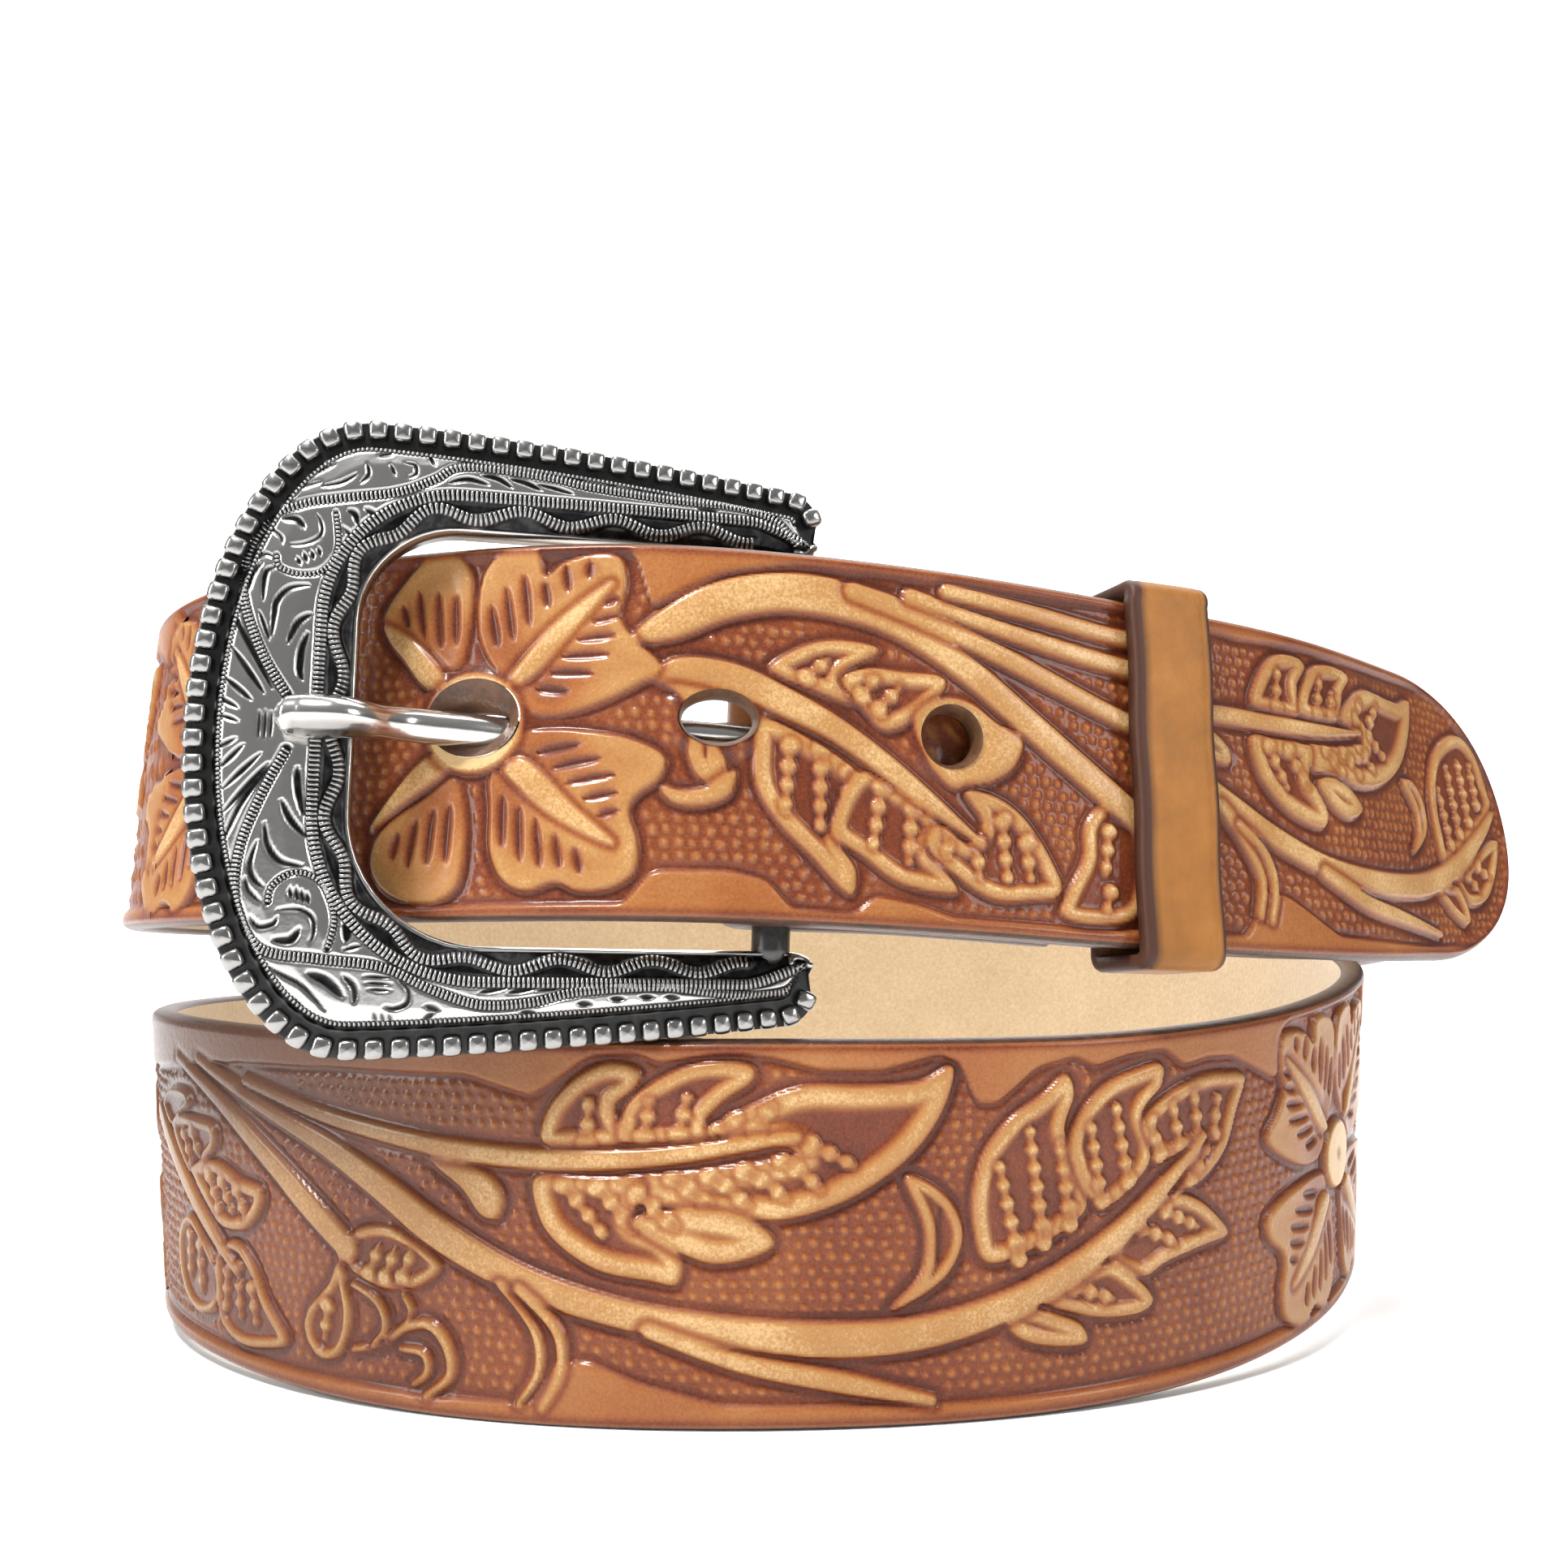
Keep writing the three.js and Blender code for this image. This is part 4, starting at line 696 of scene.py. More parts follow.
    def rib(self, x0, y0, x1, y1):
        """A raised rib with a scalloped edge, inside a leaf."""
        here, distance, place = self.beside(np.array([(x0, y0), (x1, y1)], float), 1.6)
        if not len(here):
            return
        length = np.hypot(x1 - x0, y1 - y0)
        scallop = 0.5 + 0.5 * np.cos(place * length * 2 * np.pi / SCALLOP_PITCH)
        half = RIB_HALF_WIDTH * (0.62 + 0.62 * scallop) * (1.1 - 0.35 * place)
        on = smoothstep(-0.15, 0.2, half - distance)
        beside = np.exp(-((half - distance + 0.35) / 0.3) ** 2) * (1 - on)
        self.relief[here] = self.relief[here] * (1 - on) + on * (-0.06 + 0.14 * scallop) - 0.06 * beside
        self.tone[here] = self.tone[here] * (1 - on) * (1 - 0.4 * beside) + on * (0.58 + 0.34 * scallop)

    def cut(self, x0, y0, x1, y1, width=CUT_WIDTH, depth=CUT_DEPTH):
        """A short cut that tapers to both ends."""
        here, distance, place = self.beside(np.array([(x0, y0), (x1, y1)], float), 1.4)
        if not len(here):
            return
        taper = np.sqrt(np.clip(4 * place * (1 - place), 0.02, 1))
        on = np.exp(-(distance / (width * taper)) ** 2)
        lip = np.exp(-((distance - 0.75) / 0.35) ** 2) * taper
        halo = np.exp(-((distance / 1.1) ** 2)) * taper * smoothstep(0.3, 0.5, self.tone[here])
        self.relief[here] += -depth * on + 0.06 * lip
        self.tone[here] = self.tone[here] * (1 - 0.8 * on) + 0.1 * lip * (1 - self.tone[here]) - 0.16 * halo

    def wedge(self, outline):
        """A high bare wedge at a petal's foot."""
        here, depth = self.within(outline, 2.0)
        if len(here):
            self.raise_shape(here, depth + 0.1, 0.06 + 0.1 * smoothstep(0, 1, depth), WEDGE_TONE)

    def petal(self, petal, middle, mirror):
        """A petal of the flower round middle; mirror is 1, or -1 to turn it left for right."""
        place = lambda points: [(middle[0] + mirror * x, middle[1] + y) for x, y in points]
        here, depth = self.within(place(petal["outline"]), 2.5)
        if not len(here):
            return
        from_middle = np.hypot(self.along[here] - middle[0], self.height[here] - middle[1])
        border = 0.1 * np.exp(-((depth - PETAL_BORDER) / 1.2) ** 2)
        sink = 0.26 * np.exp(-((from_middle - PETAL_SINK_RADIUS) / 3.2) ** 2) + border
        tone = PETAL_TONE - 0.34 * np.exp(-((from_middle - PETAL_SINK_RADIUS) / 4) ** 2) - border
        self.raise_shape(here, depth, PETAL_HEIGHT - sink, tone - 0.1 * np.exp(-(depth / 0.4) ** 2))
        for x0, y0, x1, y1 in petal["cuts"]:
            (a, b), (c, d) = place([(x0, y0), (x1, y1)])
            self.cut(a, b, c, d, width=PETAL_CUT_WIDTH, depth=PETAL_CUT_DEPTH)
        self.wedge(place(petal["wedge"]))

    def ring(self, middle, radius, ring_width):
        """The flower's middle: a raised ring round a dark hollow."""
        here = self.near(np.array([middle]), radius + 2)
        if not len(here):
            return
        distance = np.hypot(self.along[here] - middle[0], self.height[here] - middle[1])
        depth = radius - distance
        bare = smoothstep(0, 0.5, depth) * (1 - smoothstep(ring_width, ring_width + 1.2, depth))
        self.raise_shape(here, depth, 0.16 * bare, 0.75 + 0.32 * bare)


def moved(rows, along):
    return [(row[0] + along, *row[1:]) for row in rows]


def lower_ground(tooling, shift):
    start, end = LOWER_SPAN[0] + shift, LOWER_SPAN[0] + UNIT_LENGTH + shift
    tooling.ground(moved(LOWER_TOP_BORDER, shift), moved(LOWER_BOTTOM_BORDER, shift), start, end)


def lower_shapes(tooling, shift):
    middle = (LOWER_FLOWER[0] + shift, LOWER_FLOWER[1])
    slid = lambda lines: [(a + shift, b, c + shift, d) for a, b, c, d in lines]
    for leaf in LOWER_LEAVES:
        tooling.leaf(moved(leaf["outline"], shift), leaf["rim"], slid(leaf.get("ribs", ())),
                     slid(leaf.get("cuts", ())))
    for stem in LOWER_STEMS:
        tooling.stem(moved(stem, shift))
    for petal in (PETALS[0], PETALS[3]):
        tooling.petal(petal, middle, -1)
        tooling.petal(petal, middle, 1)
    tooling.ring(middle, *LOWER_RING)


def tooled(along, height):
    """Relief and tone at places on the grain side."""
    tooling = Tooling(along, height)
    shifts = [k * UNIT_LENGTH for k in range(-3, 4) if LOWER_SPAN[0] + k * UNIT_LENGTH < TIP_SPAN_START]
    for work in (lower_ground, lower_shapes):
        for shift in shifts:
            work(tooling, shift)
    tooling.ground(TIP_TOP_BORDER, TIP_BOTTOM_BORDER, TIP_SPAN_START, RUN_LENGTH + 1)
    middle = (PRONG_HOLE, FLOWER_HEIGHT)
    for leaf in TIP_LEAVES:
        tooling.leaf(**leaf)
    for stem in TIP_STEMS:
        tooling.stem(stem)
    for petal in PETALS:
        tooling.petal(petal, middle, 1)
    tooling.ring(middle, *TIP_RING)
    return tooling.relief, tooling.tone


# Strap meshes. kind says what a vertex belongs to, and counts the strap's materials.

GRAIN, EDGE, FLESH, BORE = range(4)
FINE_STEP = 0.29
COARSE_STEP = 0.9
LOWER_FINE = (440.0, 640.0)
LOWER_MIDDLE = 540.0
TIP_FINE_START = 985.0
TIP_MIDDLE = 1092.0
TIP_DENSE_LENGTH = 4
TURN_START = 0.6
FOLD_TAIL_ROWS = 40
FOLD_BEND_ROWS = 17
EDGE_STEPS = 6
# Distances from the edge over which the relief rises and the tone lightens
EDGE_RISE = (0.8, 2.0)
EDGE_LIGHTENS = (0.7, 1.7)
EDGE_TONE = 0.35
FLESH_COARSER = 4
FLESH_LEAST = 20
HOLE_MARGIN = 6
HOLE_COLLAR = 0.7
HOLE_COLLAR_SINK = 0.1
BORE_SIDES = 56
BORE_SHRINK = 0.6
# Bore of a hole, from the grain side: depth, how far it closes in, and more of it behind the prong
BORE_ROWS = np.array([
    (STRAP_THICKNESS / 2 - 0.02, 0.0, 0.0), (STRAP_THICKNESS / 2 - 0.3, 0.2, 0.1), (0.4, 0.55, 0.5),
    (-0.6, 0.75, 0.9), (-STRAP_THICKNESS / 2 + 0.2, 0.6, 1.0), (-STRAP_THICKNESS / 2, 0.0, 1.0),
])
PRONG_PINCH = 2.6
# Painted shade on the lower turn, with the buckle's painted shadow on its upper part: distances along the
# strap, and the height where that shadow begins
SHADE_CENTRE = 454.0
SHADE_REACH = 42
BUCKLE_SHADOW_SHIFT = 16
BUCKLE_SHADOW_REACH = 38
BUCKLE_SHADOW_FOOT = (18, 32)


def section(step):
    """Ring of (height, depth, kind) round the strap, from the grain side's foot upwards."""
    half, top = STRAP_THICKNESS / 2, STRAP_WIDTH - EDGE_ROUND
    count = int(round((STRAP_WIDTH - 2 * EDGE_ROUND) / step))
    flesh_count = max(count // FLESH_COARSER, FLESH_LEAST)
    angles = np.linspace(np.pi / 2, -np.pi / 2, EDGE_STEPS + 2)[1:-1]
    ring = [(h, half, GRAIN) for h in np.linspace(EDGE_ROUND, top, count + 1)]
    ring += [(top + EDGE_ROUND * math.cos(a), half * math.sin(a), EDGE) for a in angles]
    ring += [(h, -half, FLESH) for h in np.linspace(top, EDGE_ROUND, flesh_count + 1)]
    ring += [(EDGE_ROUND - EDGE_ROUND * math.cos(a), half * math.sin(a), EDGE) for a in -angles]
    return np.array(ring)


def hole_centres():
    return [(PRONG_HOLE + hole["from_prong"] * HOLE_PITCH, STRAP_WIDTH / 2 + HOLE_RAISE,
             hole["long"] / 2, hole["high"] / 2) for hole in HOLES]


def strap_points(along, height, depth, frames):
    """Points at each along, height and depth; frames holds the row's own place and directions."""
    origin, run, across, out, at = frames
    return (origin[:, None] + run[:, None] * (along - at[:, None])[..., None]
            + across[:, None] * height[..., None] + out[:, None] * depth[..., None])


def row_places(start, end, step):
    """Distances of a strap length's rows, which close up at the tip's round end."""
    at = np.linspace(start, end, int(round((end - start) / step)) + 1)
    if end >= RUN_LENGTH:
        tip = at > end - TIP_DENSE_LENGTH
        share = (at[tip] - end + TIP_DENSE_LENGTH) / TIP_DENSE_LENGTH
        at[tip] = end - TIP_DENSE_LENGTH * (1 - share) ** 2
        at[-1] = end - 0.01
    return at


# Painted shade over the lower turn's left part, and the buckle's painted shadow over its upper part, from 0
# to 0.95
def painted_shade_at(along, height):
    from_shade_centre = along - SHADE_CENTRE
    painted_shade = 0.5 * np.exp(-(from_shade_centre / SHADE_REACH) ** 2)
    buckle_shadow = np.exp(-((from_shade_centre - BUCKLE_SHADOW_SHIFT) / BUCKLE_SHADOW_REACH) ** 4)
    return (painted_shade + 0.6 * buckle_shadow * smoothstep(*BUCKLE_SHADOW_FOOT, height)).clip(0, 0.95)


def strap_piece(name, start, end, step, replaced=()):
    """One length of the strap, with its holes, its tooling and its tip."""
    at = row_places(start, end, step)
    rows = len(at)
    ring = section(step)
    frames = (*run_frame(bearing_at(at)), at)
    half_width = tip_half_width(RUN_LENGTH - at)[:, None]
    along = np.repeat(at[:, None], len(ring), 1)
    height = STRAP_WIDTH / 2 + (ring[None, :, 0] - STRAP_WIDTH / 2) * (half_width / (STRAP_WIDTH / 2))
    kind = np.repeat(ring[None, :, 2].astype(int), rows, 0)
    faces = grid_faces(rows, len(ring), closed_columns=True)

    holes = [hole for hole in hole_centres() if start + HOLE_MARGIN < hole[0] < end - HOLE_MARGIN]
    gone = np.zeros(len(faces), bool)
    for centre, level, half_long, half_high in holes:
        reach = np.hypot((along - centre) / half_long, (height - level) / half_high)
        inside = (reach < 1) & ((kind == GRAIN) | (kind == FLESH))
        corners = inside.ravel()[faces]
        gone |= corners.all(1)
        border = np.zeros(along.size, bool)
        border[faces[corners.any(1) & ~corners.all(1)]] = True
        pull = np.where(border.reshape(along.shape) & inside, 1 / reach.clip(0.05), 1)
        along = centre + (along - centre) * pull
        height = level + (height - level) * pull
    faces = faces[~gone]

    relief = np.zeros(along.shape)
    tone = np.full(along.shape, 0.5)
    grain = kind == GRAIN
    relief[grain], tone[grain] = tooled(along[grain], height[grain])
    from_edge = np.minimum(height - (STRAP_WIDTH / 2 - half_width), STRAP_WIDTH / 2 + half_width - height)
    relief *= smoothstep(*EDGE_RISE, from_edge)
    lit = EDGE_TONE + (1 - EDGE_TONE) * smoothstep(*EDGE_LIGHTENS, from_edge)
    tone = np.where(grain, tone * lit, tone)
    for centre, level, half_long, half_high in holes:
        reach = np.hypot((along - centre) / (half_long + HOLE_COLLAR),
                         (height - level) / (half_high + HOLE_COLLAR))
        rim = np.where(grain, 1 - smoothstep(0.9, 1.25, reach), 0)
        relief = relief * (1 - rim) + rim * -HOLE_COLLAR_SINK
    relief = np.where(grain, relief, 0)
    depth = np.repeat(ring[None, :, 1], rows, 0) + relief

    used = np.zeros(along.size, bool)
    used[faces] = True
    slots = kind.ravel()[faces].min(1)
    # Besides tone and relief, each vertex carries the painted shade and painted buckle shadow of the lower
    # turn
    values = [value.ravel()[used] for value in (tone, relief, painted_shade_at(along, height))]
    points = [strap_points(along, height, depth, frames).reshape(-1, 3)[used]]
    faces = [(np.cumsum(used) - 1)[faces]]
    count = len(points[0])
    for hole in holes:
        wall, wall_faces = hole_wall(*hole)
        points.append(wall)
        faces.append(wall_faces + count)
        count += len(wall)
    points, faces = np.concatenate(points), np.concatenate(faces)
    slots = np.pad(slots, (0, len(faces) - len(slots)), constant_values=BORE)
    item = new_object(name, in_frame(points), faces[:, ::-1], STRAP_MATERIALS, slots)
    for label, value, in_bore in zip(("tone", "relief", "painted_shade"), values, (0.5, 0, 0)):
        set_attribute(item, label, np.pad(value, (0, count - len(value)), constant_values=in_bore))
    worn_by_root(item, "tooled_leather", *replaced)


def hole_wall(centre, level, half_long, half_high):
    """A tube through the strap that closes in a little towards the flesh side."""
    depths, shrink, behind_prong = BORE_ROWS.T
    if abs(centre - PRONG_HOLE) < 1:
        shrink = shrink + PRONG_PINCH * behind_prong
    angle = np.linspace(0, 2 * np.pi, BORE_SIDES, endpoint=False)
    along = centre + (half_long - BORE_SHRINK * shrink[:, None]) * np.cos(angle)
    height = level + (half_high - shrink[:, None]) * np.sin(angle)
    depth = np.repeat(depths[:, None], BORE_SIDES, 1)
    at = np.full(len(depths), centre)
    points = strap_points(along, height, depth, (*run_frame(bearing_at(at)), at))
    return points.reshape(-1, 3), grid_faces(len(depths), BORE_SIDES, closed_columns=True)


def fold_piece():
    """The buckle end: the tail behind the run, and the bend round the bar."""
    def tail_offset(from_bar):
        opening = 1 - smoothstep(0, FOLD_PINCH, from_bar)
        return LAYER_PITCH + (2 * FOLD_RADIUS - LAYER_PITCH) * opening

    tail = np.linspace(FOLD_TAIL, TURN_START, FOLD_TAIL_ROWS)
    origin, _, across, out = run_frame(bearing_at(tail))
    tail_origin = origin - out * tail_offset(tail)[:, None]
    bar_origin, bar_run, bar_across, bar_out = (v[0] for v in run_frame(BAR_BEARING))
    angle = np.pi * (1 - np.linspace(0, 1, FOLD_BEND_ROWS)[:-1])
    bend_origin = (bar_origin + bar_out * (FOLD_RADIUS * (np.cos(angle) - 1))[:, None]
                   - bar_run * (FOLD_RADIUS * np.sin(angle))[:, None])
    start_origin, _, start_across, _ = run_frame(bearing_at(np.linspace(0, COARSE_STEP, 3)[:-1]))
    origins = np.concatenate([tail_origin, bend_origin, start_origin])
    acrosses = np.concatenate([across, np.repeat(bar_across[None], len(angle), 0), start_across])
    middles = origins + acrosses * STRAP_WIDTH / 2
    outs = unit(np.cross(np.gradient(middles, axis=0), acrosses))
    ring = section(COARSE_STEP)
    points = (origins[:, None] + acrosses[:, None] * ring[None, :, 0, None]
              + outs[:, None] * ring[None, :, 1, None]).reshape(-1, 3)
    faces = grid_faces(len(origins), len(ring), closed_columns=True)
    kinds = np.tile(ring[:, 2].astype(int), len(origins))
    item = new_object("strap_fold", in_frame(points), faces[:, ::-1], STRAP_MATERIALS, kinds[faces].min(1))
    set_attribute(item, "tone", np.full(len(points), PLAIN_TONE))
    set_attribute(item, "relief", np.zeros(len(points)))
    worn_by_root(item, "tooled_leather")


# Materials

STAIN = [
    (0.0, (0.064, 0.0125, 0.0046)), (0.18, (0.139, 0.0305, 0.0100)), (0.52, (0.258, 0.087, 0.0235)),
    (0.84, (0.338, 0.172, 0.057)), (1.0, (0.53, 0.35, 0.165)),
]
PATCH_SWING = 0.34
SPECKLE_SWING = 0.46
# Strength and colour of the painted shade and painted buckle shadow on the lower turn
PAINTED_SHADE_SHARE = 0.95
PAINTED_SHADE_BROWN = (0.052, 0.023, 0.014)
EDGE_DARK = (0.038, 0.015, 0.008)
# Colour of the hole walls: their brown made much darker, as painted shade inside the holes
BORE_SHADED_BROWN = (0.062, 0.027, 0.012)
EDGE_RUB = 2.1
FLESH_CLOUD = [(0.3, (0.39, 0.275, 0.15)), (0.7, (0.46, 0.335, 0.195))]
FLESH_FIBRE = [(0.3, (0.33, 0.22, 0.115)), (0.7, (0.64, 0.50, 0.33))]
KEEPER_CLOUD = [(0.3, (0.205, 0.082, 0.016)), (0.55, (0.262, 0.102, 0.018)), (0.8, (0.31, 0.135, 0.03))]
KEEPER_EDGE = (0.050, 0.019, 0.011)
# Silver: colour of the polished and of the blackened parts, and roughness
ANTIQUE_LOOK = ((0.50, 0.49, 0.475), (0.014, 0.014, 0.015), 0.22)
BRIGHT_LOOK = ((0.62, 0.60, 0.575), (0.03, 0.03, 0.03), 0.17)


class Shading:
    """The nodes of a material or of the world. Sizes are in millimetres."""

    def __init__(self, owner):
        owner.use_nodes = True
        self.owner = owner
        self.nodes, self.links = owner.node_tree.nodes, owner.node_tree.links

    def feed(self, inputs, values):
        """Gives inputs, by name or place, a number, a colour or what another node puts out."""
        for key, value in values.items():
            if isinstance(value, (int, float)):
                inputs[key].default_value = value
            elif isinstance(value, tuple):
                inputs[key].default_value = (*value, 1)
            else:
                self.links.new(value, inputs[key])

    def surface(self, values):
        self.feed(self.nodes["Principled BSDF"].inputs, values)

    def noise(self, size, detail=3.0, roughness=0.55):
        """Noise over the object's own place, with features of about that size."""
        place, texture = self.nodes.new("ShaderNodeTexCoord"), self.nodes.new("ShaderNodeTexNoise")
        self.feed(texture.inputs, {"Scale": 1 / (size * MM), "Detail": detail, "Roughness": roughness,
                                   "Vector": place.outputs["Object"]})
        return texture.outputs["Fac"]

    def ramp(self, value, stops):
        """A colour, or a grey where the stops are single numbers, for each value."""
        node = self.nodes.new("ShaderNodeValToRGB")
        elements = node.color_ramp.elements
        while len(elements) < len(stops):
            elements.new(0.5)
        for element, (position, color) in zip(elements, stops):
            element.position = position
            element.color = (*(color if isinstance(color, tuple) else (color,) * 3), 1)
        self.feed(node.inputs, {"Fac": value})
        return node.outputs["Color"]

    def math(self, operation, a, b, clamp=False):
        node = self.nodes.new("ShaderNodeMath")
        node.operation = operation
        node.use_clamp = clamp
        self.feed(node.inputs, {0: a, 1: b})
        return node.outputs["Value"]

    def mix(self, share, a, b):
        node = self.nodes.new("ShaderNodeMix")
        node.data_type = "RGBA"
        for wanted, value in ((("Factor", "VALUE"), share), (("A", "RGBA"), a), (("B", "RGBA"), b)):
            places = [k for k, socket in enumerate(node.inputs) if (socket.name, socket.type) == wanted]
            self.feed(node.inputs, {places[0]: value})
        return [socket for socket in node.outputs if socket.type == "RGBA"][0]

    def bump(self, height, distance, under=None):
        node = self.nodes.new("ShaderNodeBump")
        self.feed(node.inputs, {"Distance": distance * MM, "Strength": 1.0, "Height": height})
        if under is not None:
            self.feed(node.inputs, {"Normal": under})
        self.surface({"Normal": node.outputs["Normal"]})
        return node.outputs["Normal"]

    def attribute(self, name):
        node = self.nodes.new("ShaderNodeAttribute")
        node.attribute_name = name
        return node.outputs["Fac"]


def grain_leather():
    """Stained by the tone attribute, with painted shade and the buckle's painted shadow over it, and a thin
    finish.
    """
    shading = Shading(bpy.data.materials.new("tooled_leather"))
    patches, speckle = shading.noise(9.0, 2.0), shading.noise(0.34, 3.0, 0.75)
    swing = lambda field, middle, share: shading.math(
        "MULTIPLY", shading.math("SUBTRACT", field, middle), share)
    tone = shading.math("ADD", shading.attribute("tone"), swing(patches, 0.5, PATCH_SWING))
    tone = shading.math("ADD", tone, swing(speckle, 0.56, SPECKLE_SWING), clamp=True)
    # The painted shade and the buckle's painted shadow darken the stain towards a dull brown
    painted_shade = shading.math("MULTIPLY", shading.attribute("painted_shade"), PAINTED_SHADE_SHARE)
    shading.surface({
        "Base Color": shading.mix(painted_shade, shading.ramp(tone, STAIN), PAINTED_SHADE_BROWN),
        "Roughness": shading.ramp(speckle, [(0.3, 0.34), (0.7, 0.52)]),
        "Specular IOR Level": 0.14, "Coat Weight": 0.34, "Coat Roughness": 0.17,
    })
    first = shading.bump(shading.noise(0.3, 3.0, 0.6), 0.05)
    shading.bump(shading.noise(0.9, 4.0, 0.62), 0.12, under=first)
    return shading.owner


def edge_leather(name, color):
    shading = Shading(bpy.data.materials.new(name))
    lighter = tuple(min(1, c * EDGE_RUB) for c in color)
    rubbed = shading.ramp(shading.noise(1.6, 3.0, 0.6), [(0.35, color), (0.75, lighter)])
    shading.surface({"Base Color": rubbed, "Roughness": 0.42})
    shading.bump(shading.noise(0.5, 3.0), 0.08)
    return shading.owner


def flesh_leather():
    shading = Shading(bpy.data.materials.new("flesh_leather"))
    fibre = shading.noise(0.7, 5.0, 0.7)
    cloud = shading.ramp(shading.noise(14.0, 2.0), FLESH_CLOUD)
    color = shading.mix(0.35, cloud, shading.ramp(fibre, FLESH_FIBRE))
    shading.surface({"Base Color": color, "Roughness": 0.85, "Sheen Weight": 0.25})
    shading.bump(fibre, 0.22)
    return shading.owner


def plain_leather():
    shading = Shading(bpy.data.materials.new("plain_leather"))
    color = shading.ramp(shading.noise(6.0, 4.0, 0.6), KEEPER_CLOUD)
    shading.surface({
        "Base Color": shading.mix(shading.attribute("burnish"), color, KEEPER_EDGE),
        "Roughness": 0.48, "Specular IOR Level": 0.2, "Coat Weight": 0.06, "Coat Roughness": 0.3,
    })
    shading.bump(shading.noise(0.5, 4.0, 0.6), 0.07)
    return shading.owner


def silver(name, high, low, roughness):
    """Polished silver plate on the high parts, black where the attribute patina is 1."""
    shading = Shading(bpy.data.materials.new(name))
    smear = shading.ramp(shading.noise(1.2, 3.0, 0.6), [(0.2, 0.93), (0.6, 1.0)])
    dark = shading.math("MULTIPLY", shading.attribute("patina"), smear, clamp=True)
    shading.surface({
        "Base Color": shading.mix(dark, high, low), "Metallic": 1.0,
        "Roughness": shading.math("ADD", roughness, shading.math("MULTIPLY", dark, 0.1)),
    })
    shading.bump(shading.noise(1.5, 3.0), 0.03)
    return shading.owner


# Buckle. Places on its face are (side, up): side grows from the band to the bar and the ends
# of the arms, up across the strap, both from the middle of the bar.

FRAME_ARM_OVERHANG = 3.5
FRAME_HALF_HEIGHT = 30.6
FRAME_END_HALF_HEIGHT = 27.4
FRAME_SHOULDER_LENGTH = 15.4
BAND_ANGLE = 0.29 * np.pi
BAND_SPAN = 26.0
CORNER_SPAN = 15.0
ARM_SPAN = 43.0
END_SPAN = 5.0
ARM_FALL_POWER = 1.4
FRAME_BACK = -1.5
FRAME_CROWN = 3.1
FRAME_BOW = 1.2
FRAME_SAG = 0.7
FRAME_DROOP = 0.014
FRAME_SWING = 1.5
WINDOW_HALF_HEIGHT = STRAP_WIDTH / 2 + 1.6
WINDOW_UPPER_CORNER_RADIUS = 9.5
WINDOW_LOWER_CORNER_RADIUS = 13.0
ARM_END_RADIUS = 3.0
BAR_HALF_LENGTH = WINDOW_HALF_HEIGHT + FRAME_SAG + 1.4
BEAD_PITCH = 2.4
BEAD_LENGTH = 1.95
BEAD_WIDTH = 2.1
BEAD_INSET = 0.05
RIM_SPREAD = 0.85
BEAD_LEVEL = 0.95
BEAD_DEPTH = 1.15
RIM_WIDTH = 2.05
RIM_LEVEL = 0.85
FRAME_STEP = 0.17
FRAME_COLUMNS = 88
LINE_STEP = 1.2
RIBBON_STEP = 0.6
# Back of the frame: share from the window to the outside, and level
FRAME_BACK_ROWS = [(1.0, 0.0), *((share, FRAME_BACK) for share in (1.0, 0.75, 0.5, 0.25, 0.0)), (0.0, 0.0)]
BEAD_LINE_STEP = 0.5
BEAD_POLISH = 0.62
RUNG_POLISH = 0.56
CHANNEL_PATINA = 0.93
BACK_PATINA = 0.45
CAP_PATINA = 0.6
BAR_PATINA = 0.9
BAR_SIDES = 24
BAR_ROWS = 30

# Dome of the engraved field: share from the window to the channel, height as a share of the crown
FIELD_DOME = [(0.0, 0.45), (0.05, 0.64), (0.2, 0.86), (0.5, 1.0), (0.8, 0.98), (1.0, 0.86)]


def buckle_axes():
    origin, along, across, out = (v[0] for v in run_frame(BAR_BEARING))
    side = turned(unit(np.array([along[0], along[1], 0.0])), UP, FRAME_SWING)
    side[2] = -FRAME_DROOP
    side = unit(side)
    upward = unit(UP - side * (UP @ side))
    axis = origin + across * STRAP_WIDTH / 2 - out * FOLD_RADIUS
    return side, upward, np.cross(side, upward), axis - upward * FRAME_SAG, axis, across


SIDE, UPWARD, FACE, BUCKLE_MIDDLE, BAR_MIDDLE, BAR_ALONG = buckle_axes()


def buckle_points(side, up, face):
    middle = (FRAME_ARM_OVERHANG - FRAME_REACH) / 2
    share = (side - middle) / (FRAME_ARM_OVERHANG - middle)
    bowed = face + FRAME_BOW * (1 - share ** 2)
    return BUCKLE_MIDDLE + side[..., None] * SIDE + up[..., None] * UPWARD + bowed[..., None] * FACE


